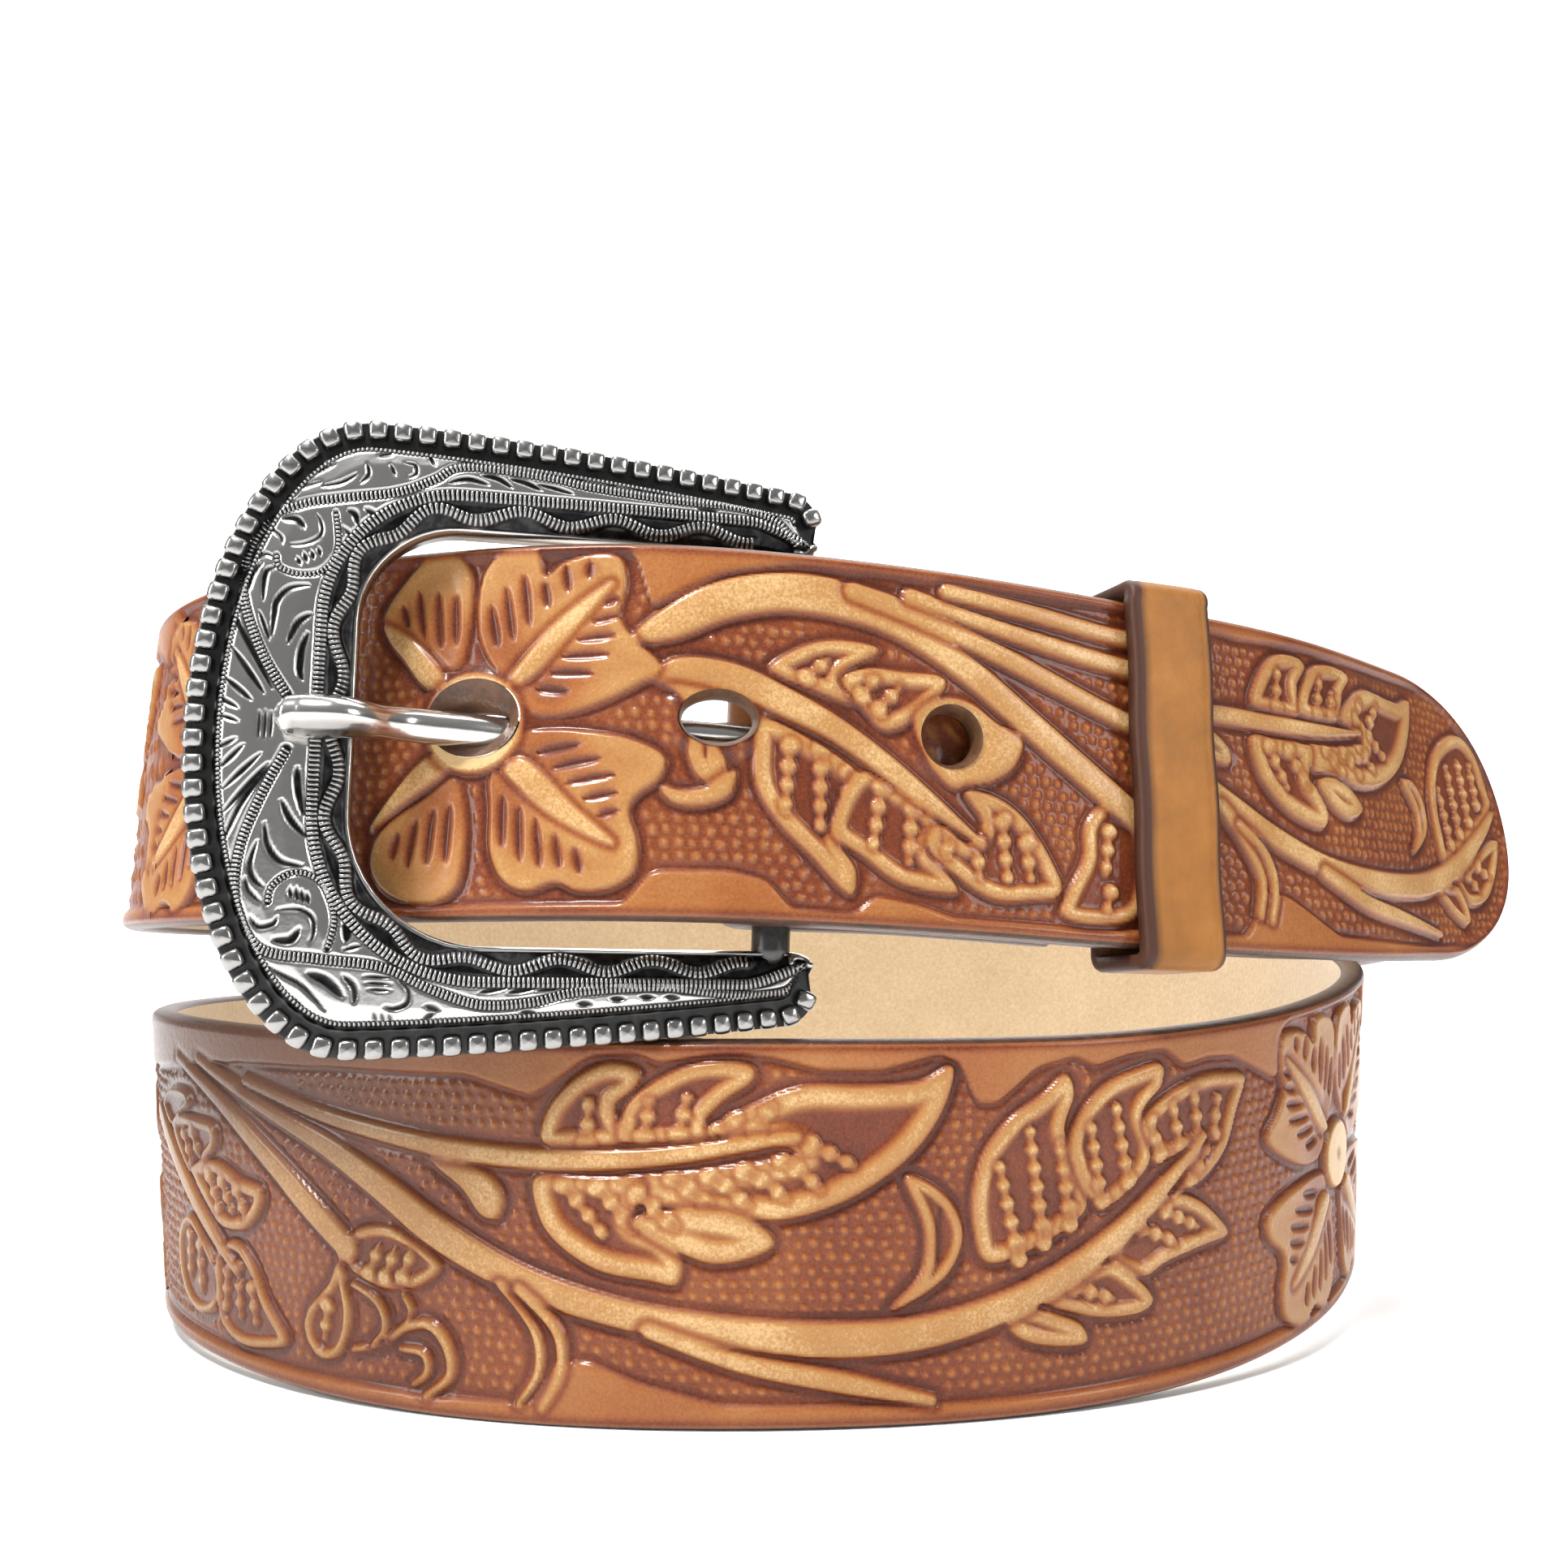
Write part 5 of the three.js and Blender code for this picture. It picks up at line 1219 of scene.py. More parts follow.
def half_outline(corner_radius, step):
    """Matched outer and inner outline of one half, from the band's middle to the end of the arm."""
    corner_base = WINDOW_HALF_HEIGHT - corner_radius
    shoulder = FRAME_REACH - FRAME_SHOULDER_LENGTH
    arm_end = FRAME_ARM_OVERHANG - ARM_END_RADIUS
    shares = lambda length: np.arange(round(length / step)) / round(length / step)
    mix = lambda a, b, share: a + (b - a) * share
    pairs = lambda side, up: np.stack([side, up], -1)
    rounded = lambda angle: pairs(-shoulder - FRAME_SHOULDER_LENGTH * np.cos(angle),
                                  FRAME_HALF_HEIGHT * np.sin(angle))

    band, corner, arm = shares(BAND_SPAN), shares(CORNER_SPAN), shares(ARM_SPAN)
    end = np.linspace(0, 1, round(END_SPAN / step) + 2)
    turn = np.pi / 2 * corner
    round_side = arm_end + ARM_END_RADIUS * np.sin(np.pi / 2 * end)
    drop = ARM_END_RADIUS * (1 - np.cos(np.pi / 2 * end))
    outer = [
        rounded(BAND_ANGLE * band),
        rounded(mix(BAND_ANGLE, np.pi / 2, corner)),
        pairs(mix(-shoulder, arm_end, arm),
              mix(FRAME_HALF_HEIGHT, FRAME_END_HALF_HEIGHT, arm ** ARM_FALL_POWER)),
        pairs(round_side, FRAME_END_HALF_HEIGHT - drop),
    ]
    inner = [
        pairs(-WINDOW_REACH + 0 * band, corner_base * band),
        pairs(-WINDOW_REACH + corner_radius * (1 - np.cos(turn)), corner_base + corner_radius * np.sin(turn)),
        pairs(mix(-WINDOW_REACH + corner_radius, arm_end, arm), WINDOW_HALF_HEIGHT + 0 * arm),
        pairs(round_side, WINDOW_HALF_HEIGHT + 0.3 * drop),
    ]
    return np.concatenate(outer), np.concatenate(inner)


def frame_outlines(step):
    """Outer and inner outline from the end of the lower arm to the end of the upper one."""
    outer, inner = half_outline(WINDOW_UPPER_CORNER_RADIUS, step)
    low_outer, low_inner = half_outline(WINDOW_LOWER_CORNER_RADIUS, step)
    flip = lambda line: line[:0:-1] * (1, -1)
    return np.concatenate([flip(low_outer), outer]), np.concatenate([flip(low_inner), inner])


OUTER_LINE, INNER_LINE = frame_outlines(LINE_STEP)


def frame_levels(side, up):
    """Height of the bare face, and the distances to the window and to the outside."""
    inner, _ = nearest_on(INNER_LINE, side, up, False)
    outer, _ = nearest_on(OUTER_LINE, side, up, False)
    field = (outer - RIM_WIDTH).clip(0)
    share = inner / (inner + field).clip(0.01)
    dome = FRAME_CROWN * np.interp(share, *zip(*FIELD_DOME))
    over_step = smoothstep(RIM_WIDTH - 0.25, RIM_WIDTH + 0.3, outer)
    return RIM_LEVEL + (dome - RIM_LEVEL) * over_step, inner, outer


def line_offset(line, offset):
    run = unit(np.gradient(line, axis=0))
    return line + np.stack([-run[:, 1], run[:, 0]], -1) * np.asarray(offset)[..., None]


def line_lengths(line):
    return np.concatenate([[0], np.cumsum(np.linalg.norm(np.diff(line, axis=0), axis=1))])


# Hatched ribbons. The outer one is drawn from each arm to the prong's tip, the two by
# the window follow its outline, and the last of them waves.
RIBBON_SINK = 0.2
BAY_DEPTH = 0.4
STROKE_DEPTH = 0.19
STROKE_HALF = 0.62
STROKE_MARGIN = 1.2
DASH_WIDTH = 0.5
DASH_HALF = 0.7
# A rung: share of the pitch and level; then share of the ribbon's width and level
RUNG_ALONG = [(0.0, 0.0), (0.14, 1.0), (0.52, 1.0), (0.66, 0.0)]
RUNG_ACROSS = [(-0.5, 0.0), (-0.4, 0.9), (0.0, 1.0), (0.4, 0.9), (0.5, 0.0)]
RIBBON_SPANS = 8
RUNG_LIFT = 0.04
RUNG_CLEARANCE = 0.03
OUTER_RIBBON_UPPER = [
    (1.4, 21.9), (0.3, 23.1), (-0.9, 24.2), (-3, 25), (-5.9, 25.4), (-13, 25.5), (-20.5, 26), (-24.7, 26.6),
    (-33, 27), (-36, 25.4), (-39.6, 23.8), (-44.9, 22.8), (-48.5, 22), (-51.9, 20.3), (-53.6, 16.5),
    (-53.4, 12.2), (-51.4, 7), (-48.9, 3.0),
]
OUTER_RIBBON_LOWER = [
    (-48.7, -2.2), (-50.8, -6.8), (-52.5, -12.1), (-52.5, -17.1), (-50.1, -21.1), (-44.9, -22),
    (-38.9, -22.7), (-34.2, -24.8), (-29.6, -26.2), (-24.7, -25.9), (-20.5, -24.9), (-12.2, -24.3),
    (-5, -25), (-0.5, -24.9), (1.6, -24), (2.4, -21.9),
]
INNER_RIBBON_OFFSET = 3.4
WAVE_RIBBON_OFFSET = 1.7
WAVE_RIBBON_SWING = 0.6
WAVE_LENGTH = 9.2
WAVE_RIBBON_END = -3
ROPE_INSET = 0.38
SCROLL_UPPER = [
    (-50.6, 16.7), (-50.3, 15.6), (-48.7, 15), (-46.7, 15.2), (-45.4, 16.5), (-44.9, 18.3), (-45.3, 21.3),
]
SCROLL_LOWER = [
    (-49.6, -16.8), (-49.4, -15.5), (-48.5, -14.5), (-47.1, -13.9), (-45.6, -14.3), (-44.4, -15.5),
    (-43.5, -18.4), (-44, -21.1),
]


def window_ribbons():
    """The straight and the waving ribbon beside the window."""
    line = frame_outlines(RIBBON_STEP)[1]
    inset = INNER_RIBBON_OFFSET * (1 - 0.55 * smoothstep(-4, FRAME_ARM_OVERHANG, line[:, 0]))
    straight = line_offset(line, inset)
    along = line_lengths(straight)
    from_band = np.hypot(straight[:, 0] + WINDOW_REACH + INNER_RIBBON_OFFSET, straight[:, 1] - 0.5)
    start = along[np.argmin(from_band)]
    wave = WAVE_RIBBON_OFFSET - WAVE_RIBBON_SWING * np.cos((along - start) * 2 * np.pi / WAVE_LENGTH)
    waving = line_offset(line, inset - wave * inset / INNER_RIBBON_OFFSET)
    return straight, waving[waving[:, 0] < WAVE_RIBBON_END]


def ribbons():
    """Rows of (line, width, pitch of the rungs)."""
    straight, waving = window_ribbons()
    rope = line_offset(frame_outlines(RIBBON_STEP)[0], -(RIM_WIDTH + ROPE_INSET))
    rope = rope[np.r_[True, np.linalg.norm(np.diff(rope, axis=0), axis=1) > 0.2]]
    return [
        (smooth_curve(OUTER_RIBBON_UPPER, False, RIBBON_SPANS), 0.95, 0.42),
        (smooth_curve(OUTER_RIBBON_LOWER, False, RIBBON_SPANS), 0.95, 0.42),
        (straight, 1.15, 0.47),
        (waving, 1.15, 0.5),
        (rope, 0.5, 0.44),
        (smooth_curve(SCROLL_UPPER, False, RIBBON_SPANS), 0.5, 0.4),
        (smooth_curve(SCROLL_LOWER, False, RIBBON_SPANS), 0.55, 0.4),
    ]


# Engraved strokes: width, then the places that the stroke runs through
STROKES = [
    (0.5, (-54.9, 12), (-53.3, 9), (-50.3, 3.6)), (0.5, (-54.1, 7.4), (-51, 3.1)),
    (0.5, (-54.6, 4.5), (-52.1, 2.4)), (0.45, (-55.3, 2.7), (-53.3, 1.6)),
    (0.4, (-54.9, 0.9), (-53.2, 0.3)), (0.4, (-55.1, -2.3), (-53.3, -1.3)),
    (0.5, (-54.6, -4.1), (-52.6, -1.9)), (0.5, (-54.2, -6.1), (-51, -2.7)),
    (0.5, (-54.1, -8.4), (-50.3, -3.6)), (0.5, (-53.9, -11), (-52.4, -7.3), (-49.9, -3.6)),
    (0.3, (-51.3, 1.4), (-51.3, -1.2)), (0.3, (-50.75, 1.5), (-50.75, -1.3)),
    (0.3, (-50.2, 1.4), (-50.2, -1.2)), (0.4, (-48.7, 16.6), (-48.3, 15.9)),
    (0.4, (-48.1, 17.1), (-47.7, 16.2)), (0.4, (-47.4, 17.3), (-47.1, 16.5)),
    (0.4, (-46.8, 17.7), (-46.5, 16.9)),
    (0.34, (-49.4, 17.8), (-48.1, 18), (-46.9, 18.6), (-46.5, 19.4), (-46.7, 20.4), (-47.1, 21)),
    (0.6, (-50.2, 20.4), (-49, 20.4), (-48.1, 19.6)),
    (0.34, (-52.3, 18.6), (-51.4, 19.3), (-50.3, 18.6), (-50.1, 17.9)),
    (0.36, (-52.4, 16.3), (-51.6, 16.8), (-50.9, 16.5)), (0.4, (-53, 13.1), (-52.7, 14.7), (-51.9, 15.9)),
    (0.5, (-51.6, 12.2), (-51.6, 14), (-51.4, 15.1), (-50.7, 15.5)),
    (0.55, (-47.4, 13.9), (-49.2, 13.5), (-50.3, 12.2), (-50.5, 10.6), (-50.6, 8.8)),
    (0.36, (-51.9, 11.1), (-51.3, 9.6), (-50.8, 8.3)), (0.6, (-47.1, 11.1), (-48.3, 10.1), (-49.1, 8.1)),
    (0.65, (-47.3, 9.2), (-47.8, 7.6), (-47.9, 5.6), (-47.6, 4.6)),
    (0.55, (-44.2, 21.6), (-43.5, 21.3), (-43.2, 20.3)), (0.4, (-44.6, 19.9), (-43.9, 19.2), (-43.9, 18.4)),
    (0.5, (-42.6, 21.9), (-41.4, 21.4)), (0.3, (-51.2, 22.4), (-48.9, 23.6), (-46.7, 24.4)),
    (0.4, (-46.7, 23.9), (-44.9, 24.4), (-43.5, 25.4)), (0.4, (-42.6, 26.5), (-42.4, 25.4), (-43.1, 24.5)),
    (0.34, (-48.7, 24.4), (-47.4, 25.3), (-45.6, 26.3)), (0.34, (-47.2, 26.6), (-45.6, 27.2)),
    (0.34, (-40.4, 26.6), (-39.8, 25.5)), (0.36, (-39, 26.9), (-38, 26.7), (-37.9, 25.8), (-38.6, 25.4)),
    (0.36, (-41.6, 27.4), (-40.2, 27.7)), (0.4, (-36.7, 27.9), (-36.1, 26.8)),
    (0.5, (-34.7, 25.2), (-32.8, 25.7), (-30.8, 25.3)), (0.5, (-31.5, 26.2), (-29.9, 26), (-28.5, 25.2)),
    (0.5, (-28.7, 26.1), (-27.1, 25.8), (-25.6, 25.2)), (0.4, (-25.9, 25.8), (-24.2, 25.5), (-22.4, 25.1)),
    (0.3, (-9.7, 24.8), (-7.4, 24.7)), (0.45, (-4.9, 24.5), (-3, 24.1), (-1.1, 23.4)),
    (0.65, (-47.6, -3.9), (-47.5, -5.7), (-46.9, -8.4)), (0.6, (-48.9, -7.1), (-48, -8.9), (-46.5, -10.5)),
    (0.55, (-50.3, -9.3), (-49.9, -11.4), (-48.7, -12.9), (-46.7, -13.3)),
    (0.5, (-50.9, -11.1), (-51.4, -13.2), (-51, -14.6), (-50.1, -15.4)),
    (0.4, (-51.8, -14.5), (-51.4, -15.7), (-50.3, -16.8)), (0.4, (-47.7, -15.4), (-47.5, -16.4)),
    (0.4, (-47.1, -15.4), (-46.9, -16.6)), (0.4, (-46.6, -15.6), (-46.4, -16.8)),
    (0.4, (-46.1, -15.9), (-45.9, -16.9)),
    (0.4, (-48.7, -17.5), (-46.7, -17.4), (-45.5, -18.2), (-45.3, -19.6), (-45.6, -20.5)),
    (0.7, (-48.9, -20.3), (-47.4, -20.3), (-46.6, -19.3)),
    (0.45, (-51.2, -18.2), (-50.3, -19.1), (-49, -18.8), (-48.7, -18.2)),
    (0.8, (-42.6, -18.6), (-42.3, -19.3), (-42.3, -20.4)), (0.4, (-40.9, -20.7), (-42.6, -21.2)),
    (0.4, (-49.8, -22.6), (-47.8, -23.6), (-46, -24.6), (-43.9, -26.8)),
    (0.8, (-45.6, -23.4), (-43.9, -24.1), (-42.4, -25.5)),
    (0.55, (-42.4, -23.6), (-41.4, -24.6), (-41.3, -26.1)), (0.34, (-40.5, -23.6), (-38.1, -23.7)),
    (0.34, (-40.3, -24.2), (-38.1, -24.3)), (0.34, (-40, -24.8), (-38.1, -24.9)),
    (0.45, (-37.3, -24), (-36.4, -24.8), (-36.5, -26.1), (-37.6, -26.6), (-38.5, -26.4)),
    (0.36, (-39.5, -27), (-39.2, -27.9)), (0.36, (-38.8, -27.1), (-38.5, -27.9)),
    (0.36, (-38.1, -27.2), (-37.8, -27.9)), (0.4, (-47.3, -25.4), (-45.6, -27)),
    (0.5, (-34.8, -26.3), (-33.4, -26.7)), (0.45, (-34.9, -27.6), (-33.9, -27)),
    (0.45, (-33, -24.1), (-29.9, -24.3)), (0.55, (-29.7, -25), (-26.8, -24.3)),
    (0.55, (-27, -25), (-24, -24.3)), (0.5, (-24.3, -24.8), (-20.9, -24.1)),
    (0.4, (-5.3, -23.9), (-2.6, -23.4)), (0.6, (-2.4, -23.7), (-0.1, -22.6)),
]
# Short dashes beside the channel: side of the middle and the place up, on either arm
DASHES = [
    (-21.7, 26.9), (-18.4, 26.6), (-15.7, 26.4), (-13, 26.3), (-25.1, -26.9), (-19.7, -26), (-16.5, -25.5),
    (-13.6, -25.3), (-11.1, -25.3),
]


def frame_relief(side, up, inner):
    """Relief of the engraving in millimetres, and patina from 0, polished, to 1, black."""
    relief, patina = np.zeros(side.shape), np.zeros(side.shape)

    def sink(here, on, depth):
        relief[here] = np.minimum(relief[here], -depth * on)
        patina[here] = np.maximum(patina[here], on)

    def beside(line, margin):
        low, high = line.min(0) - margin, line.max(0) + margin
        here = np.nonzero((side > low[0]) & (side < high[0]) & (up > low[1]) & (up < high[1]))[0]
        return here, *nearest_on(line, side[here], up[here], False)

    straight, _ = window_ribbons()
    bay = np.nonzero(inside_of(straight, side, up) & (side < 1) & (inner > 0.1))[0]
    sink(bay, smoothstep(0.25, 0.5, inner[bay]), BAY_DEPTH)
    for line, width, _ in ribbons():
        here, distance, _ = beside(line, width)
        on = 1 - smoothstep(width / 2 - 0.05, width / 2 + 0.18, distance)
        relief[here] = relief[here] * (1 - on) - RIBBON_SINK * on
        patina[here] = np.maximum(patina[here], on)
    dashes = [(DASH_WIDTH, (a - DASH_HALF, b), (a + DASH_HALF, b)) for a, b in DASHES]
    for width, *places in STROKES + dashes:
        line = smooth_curve(places, False, 5) if len(places) > 2 else np.array(places, float)
        here, distance, place = beside(line, STROKE_MARGIN)
        share = place / (len(line) - 1)
        half = width * STROKE_HALF * np.sqrt(np.clip(4 * share * (1 - share), 0.12, 1))
        sink(here, 1 - smoothstep(half - 0.12, half + 0.12, distance), STROKE_DEPTH)
    return relief, patina


def rungs(line, width, pitch):
    """Rungs across a hatched ribbon, as one strip of vertices with their patina."""
    lengths = line_lengths(line)
    count = int(round(lengths[-1] / pitch))
    phases, levels = np.array(RUNG_ALONG).T
    shares, edge = np.array(RUNG_ACROSS).T
    at = (np.arange(count)[:, None] + phases).ravel() * lengths[-1] / count
    place = np.stack([np.interp(at, lengths, line[:, k]) for k in (0, 1)], -1)
    run = unit(np.stack([np.interp(at, lengths, np.gradient(line[:, k], lengths)) for k in (0, 1)], -1))
    normal = np.stack([-run[:, 1], run[:, 0]], -1)
    places = place[:, None] + normal[:, None] * (shares * width)[None, :, None]
    side, up = places[..., 0].ravel(), places[..., 1].ravel()
    high = (np.tile(levels, count)[:, None] * edge).ravel()
    face = frame_levels(side, up)[0] - RIBBON_SINK + RUNG_CLEARANCE + (RIBBON_SINK + RUNG_LIFT) * high
    return buckle_points(side, up, face), grid_faces(len(at), len(shares)), 1 - RUNG_POLISH * high


def facing(points, faces, outward, judged=slice(None)):
    """Faces, all turned over if the judged ones look against outward, one direction or one each."""
    a, b, c = (points[faces[judged][:, k]] for k in (0, 1, 2))
    return faces if (np.cross(b - a, c - a) * outward).sum() > 0 else faces[:, ::-1]


def joined(parts):
    """Several (points, faces, values) as one."""
    starts = np.cumsum([0] + [len(part[0]) for part in parts])
    return (np.concatenate([part[0] for part in parts]),
            np.concatenate([part[1] + start for part, start in zip(parts, starts)]),
            np.concatenate([part[2] for part in parts]))


def frame_body(rows):
    """One length of the frame, closed all round its section."""
    outer, inner = frame_outlines(FRAME_STEP)
    run = unit(np.gradient(outer, axis=0))
    ends = np.minimum(np.arange(len(outer)), np.arange(len(outer))[::-1]) * FRAME_STEP
    spread = RIM_SPREAD * smoothstep(0, 1.5, ends)[:, None] * np.stack([-run[:, 1], run[:, 0]], -1)
    outer, inner = (outer + spread)[rows], inner[rows]
    back_share, back_face = np.array(FRAME_BACK_ROWS).T
    across = np.concatenate([np.linspace(0, 1, FRAME_COLUMNS), back_share])
    places = inner[:, None] + (outer - inner)[:, None] * across[None, :, None]
    side, up = places[..., 0], places[..., 1]
    front_side, front_up = side[:, :FRAME_COLUMNS].ravel(), up[:, :FRAME_COLUMNS].ravel()
    face, to_window, to_outside = frame_levels(front_side, front_up)
    relief, patina = frame_relief(front_side, front_up, to_window)
    channel = 1 - smoothstep(RIM_WIDTH - 0.1, RIM_WIDTH + 0.25, to_outside)
    patina = np.maximum(patina, CHANNEL_PATINA * channel)
    face = face + relief * (1 - channel)
    shape = (len(outer), FRAME_COLUMNS)
    face = np.concatenate([face.reshape(shape), np.tile(back_face, (len(outer), 1))], 1)
    back_patina = np.full((len(outer), len(back_face)), BACK_PATINA)
    patina = np.concatenate([patina.reshape(shape), back_patina], 1)
    columns = len(across)
    points = buckle_points(side, up, face).reshape(-1, 3)
    faces = grid_faces(len(outer), columns, closed_columns=True)
    front = (faces % columns).max(1) < FRAME_COLUMNS - 1
    return points, facing(points, faces, FACE, front), patina.ravel(), columns


def end_cap(points, ring, patina):
    """Closes the end of an arm with a fan round its middle; ring lists the section's vertices."""
    even = ring[: len(ring) // 2 * 2]
    faces = [(len(points), even[i], even[i + 1], even[(i + 2) % len(even)]) for i in range(0, len(even), 2)]
    return np.vstack([points, points[ring].mean(0)]), np.array(faces), np.append(patina, CAP_PATINA)


def antique_piece(name, points, faces, patina, replaced=()):
    item = new_object(name, in_frame(points), faces, [ANTIQUE_SILVER])
    set_attribute(item, "patina", patina)
    worn_by_root(item, "antique_silver", *replaced)


def frame_piece(name, rows, cap_row, replaced=()):
    points, faces, patina, columns = frame_body(rows)
    ring = np.arange(columns) + (cap_row % (len(points) // columns)) * columns
    points, cap, patina = end_cap(points, ring, patina)
    antique_piece(name, points, np.vstack([faces, facing(points, cap, SIDE)]), patina, replaced)


def bead_places():
    outline, _ = frame_outlines(BEAD_LINE_STEP)
    outline = outline[np.r_[True, np.linalg.norm(np.diff(outline, axis=0), axis=1) > 0.05]]
    lengths = line_lengths(outline)
    count = int(round(lengths[-1] / BEAD_PITCH))
    at = (np.arange(count) + 0.5) * lengths[-1] / count
    pick = lambda where: np.stack([np.interp(where, lengths, outline[:, k]) for k in (0, 1)], -1)
    run = unit(pick(at + 0.5) - pick(at - 0.5))
    inward = np.stack([run[:, 1], -run[:, 0]], -1)
    return pick(at) + inward * BEAD_INSET, run


def rounded_block(power=0.52, rounds=14, levels=9):
    """Unit block with rounded edges, as a superellipsoid."""
    bend = lambda value: np.sign(value) * np.abs(value) ** power
    turn = np.linspace(0, 2 * np.pi, rounds, endpoint=False) + np.pi / rounds
    rise = np.linspace(-np.pi / 2, np.pi / 2, levels)
    x = bend(np.cos(rise))[:, None] * bend(np.cos(turn))
    y = bend(np.cos(rise))[:, None] * bend(np.sin(turn))
    z = np.repeat(bend(np.sin(rise))[:, None], rounds, 1)
    return np.stack([x, y, z], -1).reshape(-1, 3), grid_faces(levels, rounds, closed_columns=True)


def beads_piece():
    """The beads on the rim and the rungs of every hatched ribbon."""
    block, block_faces = rounded_block()
    parts = []
    for place, run in zip(*bead_places()):
        normal = np.array([-run[1], run[0]])
        flat = place + block[:, :1] * run * BEAD_LENGTH / 2 + block[:, 1:2] * normal * BEAD_WIDTH / 2
        points = buckle_points(flat[:, 0], flat[:, 1], BEAD_LEVEL + block[:, 2] * BEAD_DEPTH)
        from_centre = points[block_faces[:, 0]] - points.mean(0)
        patina = 1 - BEAD_POLISH * smoothstep(0.1, 0.75, block[:, 2])
        parts.append((points, facing(points, block_faces, from_centre), patina))
    for line, width, pitch in ribbons():
        points, faces, patina = rungs(line, width, pitch)
        parts.append((points, facing(points, faces, FACE), patina))
    antique_piece("buckle_beads_and_hatching", *joined(parts))


def tube(centres, radii, across, out, sides):
    """A tube through centres, open at both ends unless the radii run out there."""
    turn = np.linspace(0, 2 * np.pi, sides, endpoint=False)
    points = (centres[:, None] + across[:, None] * (radii[:, None] * np.cos(turn))[..., None]
              + out[:, None] * (radii[:, None] * np.sin(turn))[..., None]).reshape(-1, 3)
    faces = grid_faces(len(centres), sides, closed_columns=True)
    return points, facing(points, faces, (points - np.repeat(centres, sides, 0))[faces[:, 0]])


def bar_piece():
    rise = np.linspace(-BAR_HALF_LENGTH, BAR_HALF_LENGTH, BAR_ROWS)
    rise = np.concatenate([[rise[0]], rise, [rise[-1]]])
    radii = np.full(len(rise), BAR_RADIUS)
    radii[[0, -1]] = 0.01
    centres = BAR_MIDDLE + rise[:, None] * BAR_ALONG
    cross = np.repeat(unit(np.cross(BAR_ALONG, FACE))[None], len(rise), 0)
    points, faces = tube(centres, radii, cross, np.cross(BAR_ALONG, cross), BAR_SIDES)
    antique_piece("buckle_bar", points, faces, np.full(len(points), BAR_PATINA))


# Prong
PRONG_REACH = FRAME_REACH - 7.8
PRONG_ROOT_RADIUS = 1.4
PRONG_SHANK_RADIUS = 1.75
PRONG_NECK_RADIUS = 1.65
PRONG_TIP_RADIUS = 2.15
PRONG_CLEARANCE = 0.45
PRONG_SIDES = 36
PRONG_SPANS = 24
PRONG_ROWS = 150
PRONG_POINT_ROWS = 26
PRONG_POINT = 0.05
PRONG_FROM_BAR = 11
PRONG_FACET_DEPTH = 0.22
PRONG_PATINA = 0.04
PRONG_HOOK = [-300, -255, -210, -165, -120, -75, -35, 0]
# Through the hole: millimetres past its middle, share of the depth under the strap, drop and rise
PRONG_THROUGH = [
    (5.9, 1, -0.5, 0), (2.9, 0.52, 0, -1.2), (-0.8, -0.3, 0, -1.2), (-5.3, -1.3, 0, -1.1),
]
# On the band: side, and lift over its crown
PRONG_ON_BAND = [(-WINDOW_REACH - 0.5, 0.2), (2.2 - PRONG_REACH, 0.1), (-PRONG_REACH, -0.2)]
# Share of the prong's length, radius
PRONG_PROFILE = [
    (0.0, PRONG_ROOT_RADIUS * 0.75), (0.04, PRONG_ROOT_RADIUS), (0.34, PRONG_ROOT_RADIUS),
    (0.5, PRONG_SHANK_RADIUS), (0.8, PRONG_SHANK_RADIUS), (0.86, PRONG_NECK_RADIUS),
    (0.92, PRONG_TIP_RADIUS * 0.97), (0.96, PRONG_TIP_RADIUS), (0.985, PRONG_TIP_RADIUS * 0.86),
    (0.996, PRONG_TIP_RADIUS * 0.5), (1.0, 0.02),
]


def prong_path():
    """Places that the middle line of the prong runs through, from its hook to its tip."""
    hook = np.radians(PRONG_HOOK)
    radius = BAR_RADIUS + PRONG_CLEARANCE + PRONG_ROOT_RADIUS
    _, along, _, out = (v[0] for v in run_frame(BAR_BEARING))
    around = BAR_MIDDLE - along * (radius * np.sin(hook))[:, None] + out * (radius * np.cos(hook))[:, None]
    bar = distance_at(TWO_TURNS + BAR_BEARING)
    under = -(STRAP_THICKNESS / 2 + PRONG_CLEARANCE + PRONG_SHANK_RADIUS)

    def over_run(distance, lift, rise):
        origin, _, across, outward = (v[0] for v in run_frame(bearing_at(distance)))
        return origin + across * (STRAP_WIDTH / 2 + rise) + outward * lift

    def on_band(side, lift):
        face = FRAME_CROWN + PRONG_CLEARANCE + PRONG_NECK_RADIUS + lift
        return buckle_points(np.array(side), np.array(FRAME_SAG), np.array(face))

    return np.array([
        *around,
        over_run(bar - PRONG_FROM_BAR, under, HOLE_RAISE * 0.4),
        *(over_run(PRONG_HOLE + beyond, under * share + drop, HOLE_RAISE + rise)
          for beyond, share, drop, rise in PRONG_THROUGH),
        *(on_band(side, lift) for side, lift in PRONG_ON_BAND),
    ])


